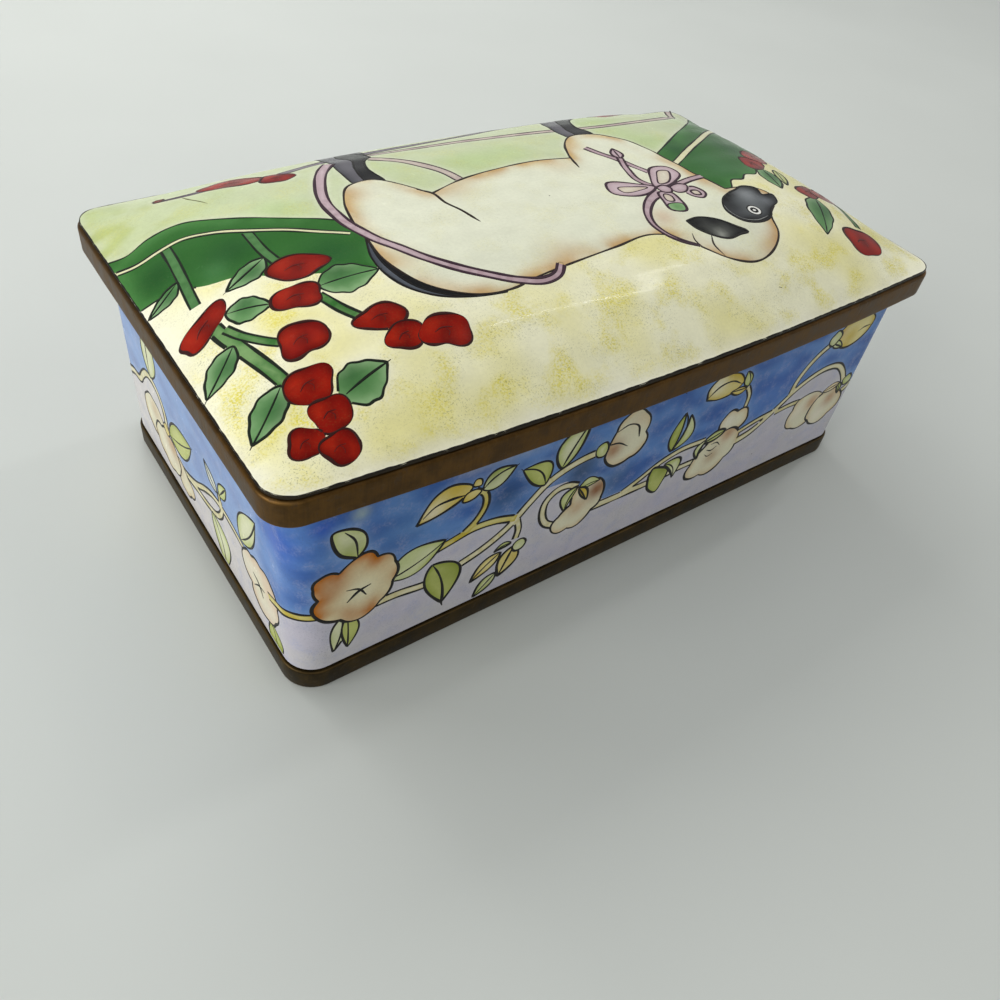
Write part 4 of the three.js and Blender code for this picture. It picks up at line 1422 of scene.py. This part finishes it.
def ribbon(d):
    """A lilac ribbon round the haunch and a bow at the neck."""
    d.stem([(-23.2, 19), (-25.5, 16.3), (-28, 12), (-29.5, 8.1), (-29.8, 2.6), (-28.6, -2.2),
            (-26.4, -6.7), (-23.7, -10.8), (-20.3, -13.9), (-16.5, -16.5), (-13.2, -17.5), (-11, -17),
            (-9.8, -15.8)], 1.45, LILAC, 0.4, ink=LILAC_INK, tip=0.9)
    d.stroke(through([(-10.2, -15.6), (-9.7, -15.4), (-9.4, -15.8)]), 0.34, LILAC_INK)
    # The collar, the two upper ends and the bow
    d.stem([(14.4, -7.2), (11.8, -8.2), (9.9, -9.6), (8.4, -11.4), (7.8, -13.4), (8.2, -15.4),
            (9.7, -17.2), (11.8, -18.6)], 1.5, LILAC, 0.36, ink=LILAC_INK, tip=0.2)
    d.stem([(12.8, 7.8), (14, 4.9), (15.4, 2), (16.8, -2)], 0.95, LILAC, 0.34, ink=LILAC_INK)
    d.stem([(15.7, 3.2), (14.3, 0), (13.5, -3), (14.4, -5.6)], 0.9, LILAC, 0.34, ink=LILAC_INK)
    d.leaf((15.7, 3.1), (16.8, 6.2), 0.9, 0.9, LILAC, ink=LILAC_INK)
    d.stem([(16.2, -7), (19.3, -6.2), (21.9, -5.7), (24.3, -5.5)], 1.0, LILAC, 0.34, ink=LILAC_INK)
    for loop, hole in (
        ([(14.8, -6), (16, -3.2), (18.2, -0.9), (20.8, -1.4), (21.4, -3.6), (18.8, -5.5), (16, -6.2)],
         [(16, -5.4), (17.1, -3.5), (18.6, -2.1), (20, -2.5), (19, -4.3), (17, -5.5)]),
        ([(14.6, -6), (12.6, -4.2), (8.2, -2.6), (7.2, -5.2), (9.6, -6.8), (13.4, -6.7)],
         [(13.4, -5.6), (11.4, -4.7), (8.9, -4.3), (8.9, -5.4), (11.6, -5.9)]),
        ([(18.2, -8), (20.4, -7.5), (21.3, -9.4), (20, -10.4), (18.4, -9.2)],
         [(19.2, -8.4), (20.4, -8.6), (20.3, -9.6), (19.2, -9.2)]),
        ([(14, -7.2), (13.2, -9.2), (12.7, -11.3), (15, -12.2), (16, -9.8), (16, -7.9)],
         [(14.6, -7.8), (13.9, -9.4), (14.7, -9.8), (15.3, -8.4)]),
    ):
        d.field(through(loop, closed=True), LILAC, 0.36, LILAC_INK)
        d.field(through(hole, closed=True), LOOP_FILL, 0.28, LILAC_INK)
    for points, paint, width in (
        ([(13, -10.3), (12.8, -11.3), (15, -12.1), (15.5, -10.7)], SMALL_LEAF, 0.26),
        ([(16.4, -7), (18.6, -6.2), (19.7, -6.9), (18.6, -8.2), (17, -8.1)], LILAC, 0.32),
        ([(14.6, -6.2), (16.2, -5.9), (16.7, -7), (16.2, -7.7), (14.8, -7.3)], LILAC, 0.34),
    ):
        d.field(through(points, closed=True), paint, width, LILAC_INK)


def berries(d):
    """Sprays of red berries with their stems and leaves, at both ends of the lid."""
    ink = GREEN_INK
    d.stem([(-49.9, -3), (-49.5, -7), (-48.9, -9.9), (-48.2, -12.8), (-47.5, -16), (-46.8, -19)], 1.5,
           LID_STEM, 0.36, ink=ink)
    d.stem([(-48.9, -6.6), (-47.8, -9.2), (-46.4, -11.4), (-44.6, -13.4)], 0.95, LID_STEM, 0.26, ink=ink)
    d.stem([(-38.8, -9), (-37.8, -11.9), (-36.4, -14.6)], 1.1, LID_STEM, 0.36, ink=ink)
    for base, tip, left, right in (
        ((-49.9, 4.9), (-54.4, 2.8), 1.4, 0.6), ((-40.8, 0.9), (-46.5, -1.4), 1.9, 1.1),
        ((-48, -4.6), (-43.5, -7), 1.9, 1.9), ((-49.2, -9.4), (-54.1, -13.5), 1.5, 1.6),
        ((-47.6, -17.8), (-53, -22.4), 1.8, 1.8), ((-43.2, -22.6), (-36.9, -21), 2.5, 2.5),
        ((-38.2, -7.7), (-31, -8.5), 2.5, 2.5),
    ):
        d.leaf(base, tip, left, right, SMALL_LEAF, rib=0.12, width=0.3, flick=0.5, ink=ink,
               shade=LEAF_SHADE, wavy=0.05)
    for x, y, half_length, half_width, turn in (
        (-50.4, -4.3, 3.7, 1.8, 0.55), (-38.5, -3.1, 3.6, 2.4, -0.25), (-40.8, -7.8, 3.0, 2.1, -0.3),
        (-43.1, -13.8, 2.9, 2.6, 0.0), (-34.5, -15.5, 3.1, 1.95, -0.1), (-33.4, -18.8, 2.4, 1.9, 0.2),
        (-28.9, -19.9, 3.2, 2.3, -0.2), (-45.2, -19.5, 2.8, 2.5, 0.1), (-44.8, -23.6, 2.3, 2.2, 0.0),
        (-48.5, -25.3, 2.0, 1.9, 0.2), (-45.6, -27.3, 2.1, 1.9, 0.0), (-36, 21.4, 4.4, 2.1, -0.5),
        (-31.2, 18.1, 2.4, 1.9, -0.3), (-44.9, 24.8, 0.7, 0.7, 0.0),
    ):
        d.berry(x, y, half_length, half_width, turn, RED, BERRY_INK)
    d.stroke(through([(-42.5, 22.4), (-42, 19.8), (-41.1, 17)]), 0.26, (96, 96, 44))
    d.stem([(48.4, -13.6), (47, -17), (45.4, -20.6)], 0.9, LID_STEM, 0.34, ink=ink)
    d.leaf((42.4, -4.6), (39.2, -10), 1.1, 0.9, PALE_LEAF, width=0.36, ink=ink)
    for base, tip, left, right in (
        ((38.8, -4.6), (36.6, -11), 1.8, 1.9), ((42.6, -13.2), (36, -21.5), 2.0, 2.4),
    ):
        d.leaf(base, tip, left, right, SMALL_LEAF, rib=0.2, width=0.3, ink=ink, shade=LEAF_SHADE, wavy=0.04)
    for x, y, half_length, half_width, turn in (
        (39, -2.8, 3.0, 2.2, 0.5), (43.4, 0.6, 3.6, 2.4, 0.5), (43.2, -11.4, 3.2, 1.9, 0.3),
        (47.4, -11.6, 3.2, 2.3, 0.1), (43.4, -23.4, 3.7, 2.9, -0.1),
        (51.8, 7.4, 2.5, 2.2, 0.0), (31, 23.4, 4.4, 2.0, 0.3),
    ):
        d.berry(x, y, half_length, half_width, turn, RED, BERRY_INK)


def lid_drawing():
    d = Drawing(plate_limits, INK)
    broad_leaves(d)
    cords(d)
    animal(d)
    ribbon(d)
    berries(d)
    d.stroke([(20.1, -27), (20.6, -27.2)], 0.4)
    rim = np.concatenate([plate_outline.place, plate_outline.place[:1]])
    rim = rim - np.concatenate([plate_outline.out, plate_outline.out[:1]]) * 0.06
    d.stroke(rim, 0.16, (22, 18, 12), (False, False), ragged=(0.5, 0.8))
    return d


# The pieces


def painted_lid(finish, counter, d):
    """The lid plate: painted enamel on its domed face and plain enamel under it."""
    outline = plate_outline
    places, faces, colours = flat_panel(outline.place, d, lid_ground)
    dark_rim = (*rgb(46, 38, 28), 0.0)
    top = Part(lay_on_lid(places), faces, 0, colours, lid_normals(places))
    rim = lay_on_lid(outline.place)
    underside = PLATE_LOW[2] - DRAWN_CLOSER
    foot = np.column_stack([outline.place, np.full(len(outline.place), underside)])
    edge = Part(*loft([foot, rim]), 0, dark_rim)
    empty = Drawing(plate_limits, INK)
    under, under_faces, _ = flat_panel(outline.place, empty, lid_ground)
    hollow_rise = DOME_RISE - PLATE_THICKNESS + PLATE_EDGE_THICKNESS
    height = underside + pillow(under, hollow_rise + DRAWN_CLOSER, PLATE_FLANGE)
    inner = Part(np.column_stack([under, height]), under_faces[:, ::-1], 1)
    return make_piece("painted_lid_plate", [top, edge, inner], [finish, counter])


def painted_body(finish, inside_finish, underside, d):
    """The body: painted walls, a plain inside with a rounded floor edge, and a stepped foot."""
    outline = body_outline
    round_off = 0.5
    wall_top = BODY_HIGH[2] - round_off
    beyond = outline.along > HALF_ROUND + 1e-6
    along = np.sort(np.where(beyond, outline.along - 2 * HALF_ROUND, outline.along))
    along = np.concatenate([[-HALF_ROUND], along[:-1], [HALF_ROUND]])
    heights = np.linspace(WALL_FOOT, wall_top, 31)[1:-1]
    ends = np.full(len(heights), HALF_ROUND)
    boundary = np.concatenate([
        np.column_stack([along, np.full(len(along), WALL_FOOT)]),
        np.column_stack([ends, heights]),
        np.column_stack([along[::-1], np.full(len(along), wall_top)]),
        np.column_stack([-ends, heights[::-1]]),
    ])
    places, faces, colours = flat_panel(boundary, d, pale_ground)
    wall = Part(lay_on_wall(places), faces, 0, colours, wall_normals(places))
    turns = np.linspace(0, math.pi / 2, 4)
    lip = [(round_off * (1 - math.cos(t)), wall_top + round_off * math.sin(t)) for t in turns]
    rings = [outline.ring(inset, height) for inset, height in lip]
    rings += [outline.ring(WALL - inset, height) for inset, height in lip[::-1]]
    rim = Part(*loft(rings), 0, (*rgb(214, 216, 218), 0.3))
    floor_top = BODY_LOW[2] + FLOOR
    inner = [outline.ring(WALL, h) for h in (wall_top, floor_top + 12, floor_top + 2)]
    hollow = 1.2
    for t in turns:
        inner.append(outline.ring(WALL + hollow * (1 - math.cos(t)), floor_top + hollow * (1 - math.sin(t))))
    inside_wall = Part(*loft(inner), 1)
    empty = Drawing(wall_limits, INK)
    bottom_ring = inner[-1]
    floor_flat, floor_faces, _ = flat_panel(bottom_ring[:, :2], empty, pale_ground)
    floor = Part(np.column_stack([floor_flat, np.full(len(floor_flat), floor_top)]), floor_faces, 1)
    step_in = FOOT_WALL + GAP - (FOOT_HIGH[0] - BODY_HIGH[0])
    below = [outline.ring(step_in, BODY_LOW[2]), outline.ring(step_in, WALL_FOOT), outline.ring(0, WALL_FOOT)]
    step = Part(*loft(below), 2)
    under_flat, under_faces, _ = flat_panel(below[0][:, :2], empty, pale_ground)
    under_height = np.full(len(under_flat), BODY_LOW[2])
    under = Part(np.column_stack([under_flat, under_height]), under_faces[:, ::-1], 2)
    parts = [wall, rim, inside_wall, floor, step, under]
    return make_piece("painted_body", parts, [finish, inside_finish, underside])


def uneven(outline, amount, seed):
    """Small unevenness of handmade metal along an outline."""
    return np.array([amount * (1 + noise.noise(Vector((*p / 6, seed)))) for p in outline.place])


def lid_metal_band(finish):
    """The lid's metal band, with a rounded rubbed lip and the ledge inside that carries the plate."""
    outline = band_outline
    lip = 0.4
    low, high = BAND_LOW[2], BAND_HIGH[2] + DRAWN_CLOSER
    hand = uneven(outline, 0.03, 4.7)
    profile, rub = [], []
    turns = np.linspace(0, math.pi / 2, 5)
    for t in turns:
        profile.append((lip * (1 - math.sin(t)), low + lip * (1 - math.cos(t))))
        rub.append(0.4 * math.sin(2 * t) + 0.1)
    for share in (0.2, 0.5, 0.8):
        profile.append((0, low + lip + share * (high - low - 2 * lip)))
        rub.append(0.05)
    for t in turns:
        profile.append((lip * (1 - math.cos(t)), high - lip + lip * math.sin(t)))
        rub.append(0.1 + 0.35 * math.sin(2 * t))
    profile.append((BAND_WALL - 0.2, high))
    rub.append(0.2)
    profile.append((BAND_WALL, high - 0.2))
    rub.append(0.2)
    profile.append((BAND_WALL, LEDGE_TOP))
    rub.append(0.0)
    rings = [outline.ring(inset + hand * (inset < 0.5), height) for inset, height in profile]
    matched = ledge_ring_like(outline)
    rings.append(np.column_stack([matched, np.full(len(matched), LEDGE_TOP)]))
    rings.append(np.column_stack([matched, np.full(len(matched), LEDGE_BOTTOM)]))
    rings.append(outline.ring(BAND_WALL, LEDGE_BOTTOM))
    rings.append(outline.ring(BAND_WALL, low))
    rub += [0.0, 0.0, 0.0, 0.1]
    points, faces = loft(rings, closed=True)
    corners = 2 * np.abs(outline.out[:, 0] * outline.out[:, 1])
    rubbed = np.add.outer(np.array(rub), 0.3 * corners).ravel()
    return make_piece("bronze_lid_band", [Part(points, faces, rubbed=rubbed)], [finish], sharp=40)


def ledge_ring_like(outline):
    """Points on the ledge's opening, one for each point of the outline."""
    share = outline.along / outline.length * ledge_outline.length
    return ledge_outline.at(share)[0]


def foot_metal_band(finish):
    """The foot's metal band, its rims rounded and worn, with the ledge turned in under the body."""
    outline = foot_outline
    lip = 0.3
    low, high = FOOT_LOW[2], FOOT_HIGH[2]
    hand = uneven(outline, 0.02, 1.9)
    profile, rub = [], []
    turns = np.linspace(0, math.pi / 2, 4)
    for t in turns:
        profile.append((lip * (1 - math.sin(t)), low + lip * (1 - math.cos(t))))
        rub.append(0.7 * math.sin(2 * t) + 0.15)
    profile.append((0, (low + high) / 2))
    rub.append(0.05)
    for t in turns:
        profile.append((lip * (1 - math.cos(t)), high - lip + lip * math.sin(t)))
        rub.append(0.2 + 0.5 * math.sin(2 * t))
    for inset, height in (
        (FOOT_WALL, high), (FOOT_WALL, low + FOOT_LEDGE_THICKNESS), (FOOT_LEDGE, low + FOOT_LEDGE_THICKNESS),
        (FOOT_LEDGE, low),
    ):
        profile.append((inset, height))
        rub.append(0.1)
    rings = [outline.ring(inset + hand * (inset < 0.4), height) for inset, height in profile]
    points, faces = loft(rings, closed=True)
    part = Part(points, faces, rubbed=np.repeat(rub, len(outline.place)))
    return make_piece("bronze_foot_band", [part], [finish], sharp=40)


lid_enamel = painted_enamel("painted_lid_enamel", (226, 214, 66), 4.6, (104, 106, 60), 0.08)
side_enamel = painted_enamel("painted_side_enamel", (176, 180, 206), 2.2, (84, 88, 112), 0.07)
counter_enamel = plain_enamel("pale_blue_enamel", (176, 196, 220), (150, 178, 210))
underside_enamel = plain_enamel("pale_underside_enamel", (204, 204, 204), (184, 186, 192))
lid_bronze = aged_bronze("lid_bronze", (78, 54, 18), (104, 74, 30), (172, 130, 72))
foot_bronze = aged_bronze("foot_bronze", (48, 37, 14), (76, 59, 26), (128, 102, 60))
strokes_tree = brush_tree(ink_enamel())

wall_picture = wall_drawing()
lid_picture = lid_drawing()
body = painted_body(side_enamel, counter_enamel, underside_enamel, wall_picture)
body_lines = brush_strokes("body_brush_lines", wall_picture, lay_on_wall, strokes_tree)
lid_plate = painted_lid(lid_enamel, counter_enamel, lid_picture)
lid_lines = brush_strokes("lid_brush_lines", lid_picture, lay_on_lid, strokes_tree)
lid_band = lid_metal_band(lid_bronze)
foot_band = foot_metal_band(foot_bronze)

for piece in (body, body_lines, lid_plate, lid_lines, lid_band, foot_band):
    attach(piece, "root")
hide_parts("body")
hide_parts("lid_plate")
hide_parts("lid_band")
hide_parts("foot_band")


# Camera, floor and light

CAMERA_PLACE = Vector((-76.655, -86.141, 99.057)) * MM
CAMERA_AIM = Vector((-23.1, -27.2, 20.0)) * MM
CAMERA_ROLL = math.radians(10.3)
CAMERA_LENS = 31.7
FLOOR_SIZE = 4.0
BOX_MIDDLE = (0, 0, 0.02)
WINDOW_SIZE = (0.77, 0.55)
ROOM_COLOUR = (0.98, 0.99, 1.0)
ROOM_BRIGHTNESS = 0.435


def add_camera():
    data = bpy.data.cameras.new("camera")
    data.lens = CAMERA_LENS
    data.clip_start = 0.005
    camera = bpy.data.objects.new("camera", data)
    turn = (CAMERA_AIM - CAMERA_PLACE).to_track_quat("-Z", "Y").to_matrix()
    rolled = turn @ Matrix.Rotation(CAMERA_ROLL, 3, "Z")
    camera.matrix_world = Matrix.Translation(CAMERA_PLACE) @ rolled.to_4x4()
    bpy.context.scene.collection.objects.link(camera)
    bpy.context.scene.camera = camera


def add_floor():
    half = FLOOR_SIZE / 2
    mesh = bpy.data.meshes.new("floor")
    corners = [(-half, -half, 0), (half, -half, 0), (half, half, 0), (-half, half, 0)]
    mesh.from_pydata(corners, [], [(0, 1, 2, 3)])
    floor = bpy.data.objects.new("floor", mesh)
    bpy.context.scene.collection.objects.link(floor)
    finish = Finish("pale_floor")
    colour = finish.mix(finish.noise(60, 2), opaque((214, 218, 212)), opaque((206, 210, 204)))
    finish.set("Base Color", colour)
    finish.set("Roughness", 0.6)
    mesh.materials.append(finish.material)


def add_light(name, place, aim, size, power, colour=(1, 1, 1)):
    data = bpy.data.lights.new(name, "AREA")
    data.shape = "RECTANGLE"
    data.size, data.size_y = size
    data.energy = power
    data.color = colour
    light = bpy.data.objects.new(name, data)
    place, aim = Vector(place), Vector(aim)
    turn = (aim - place).to_track_quat("-Z", "Y").to_matrix()
    light.matrix_world = Matrix.Translation(place) @ turn.to_4x4()
    bpy.context.scene.collection.objects.link(light)
    return light


def add_world(colour, strength):
    world = bpy.data.worlds.new("room")
    world.use_nodes = True
    background = world.node_tree.nodes["Background"]
    background.inputs["Color"].default_value = (*colour, 1)
    background.inputs["Strength"].default_value = strength
    bpy.context.scene.world = world


add_camera()
add_floor()
add_light("window", (-0.997, 0, 0.465), BOX_MIDDLE, WINDOW_SIZE, power=4.5, colour=(1.0, 1.0, 0.99))
far_window = add_light("far_window", (-0.499, 0.863, 0.465), BOX_MIDDLE, WINDOW_SIZE, power=3.2)
back_fill = add_light("back_fill", (0, 0.354, 0.354), BOX_MIDDLE, (0.35, 0.25), power=0.84)
for light in (far_window, back_fill):
    light.visible_glossy = False
# A narrow lamp over the right end, for the thin soft streaks on the lid's near half
add_light("strip_lamp", (0.55, 0.085, 0.8), (-0.015, -0.022, 0.04), (0.035, 0.3), power=0.6)
add_world(ROOM_COLOUR, ROOM_BRIGHTNESS)
bpy.context.scene.view_settings.view_transform = "Standard"
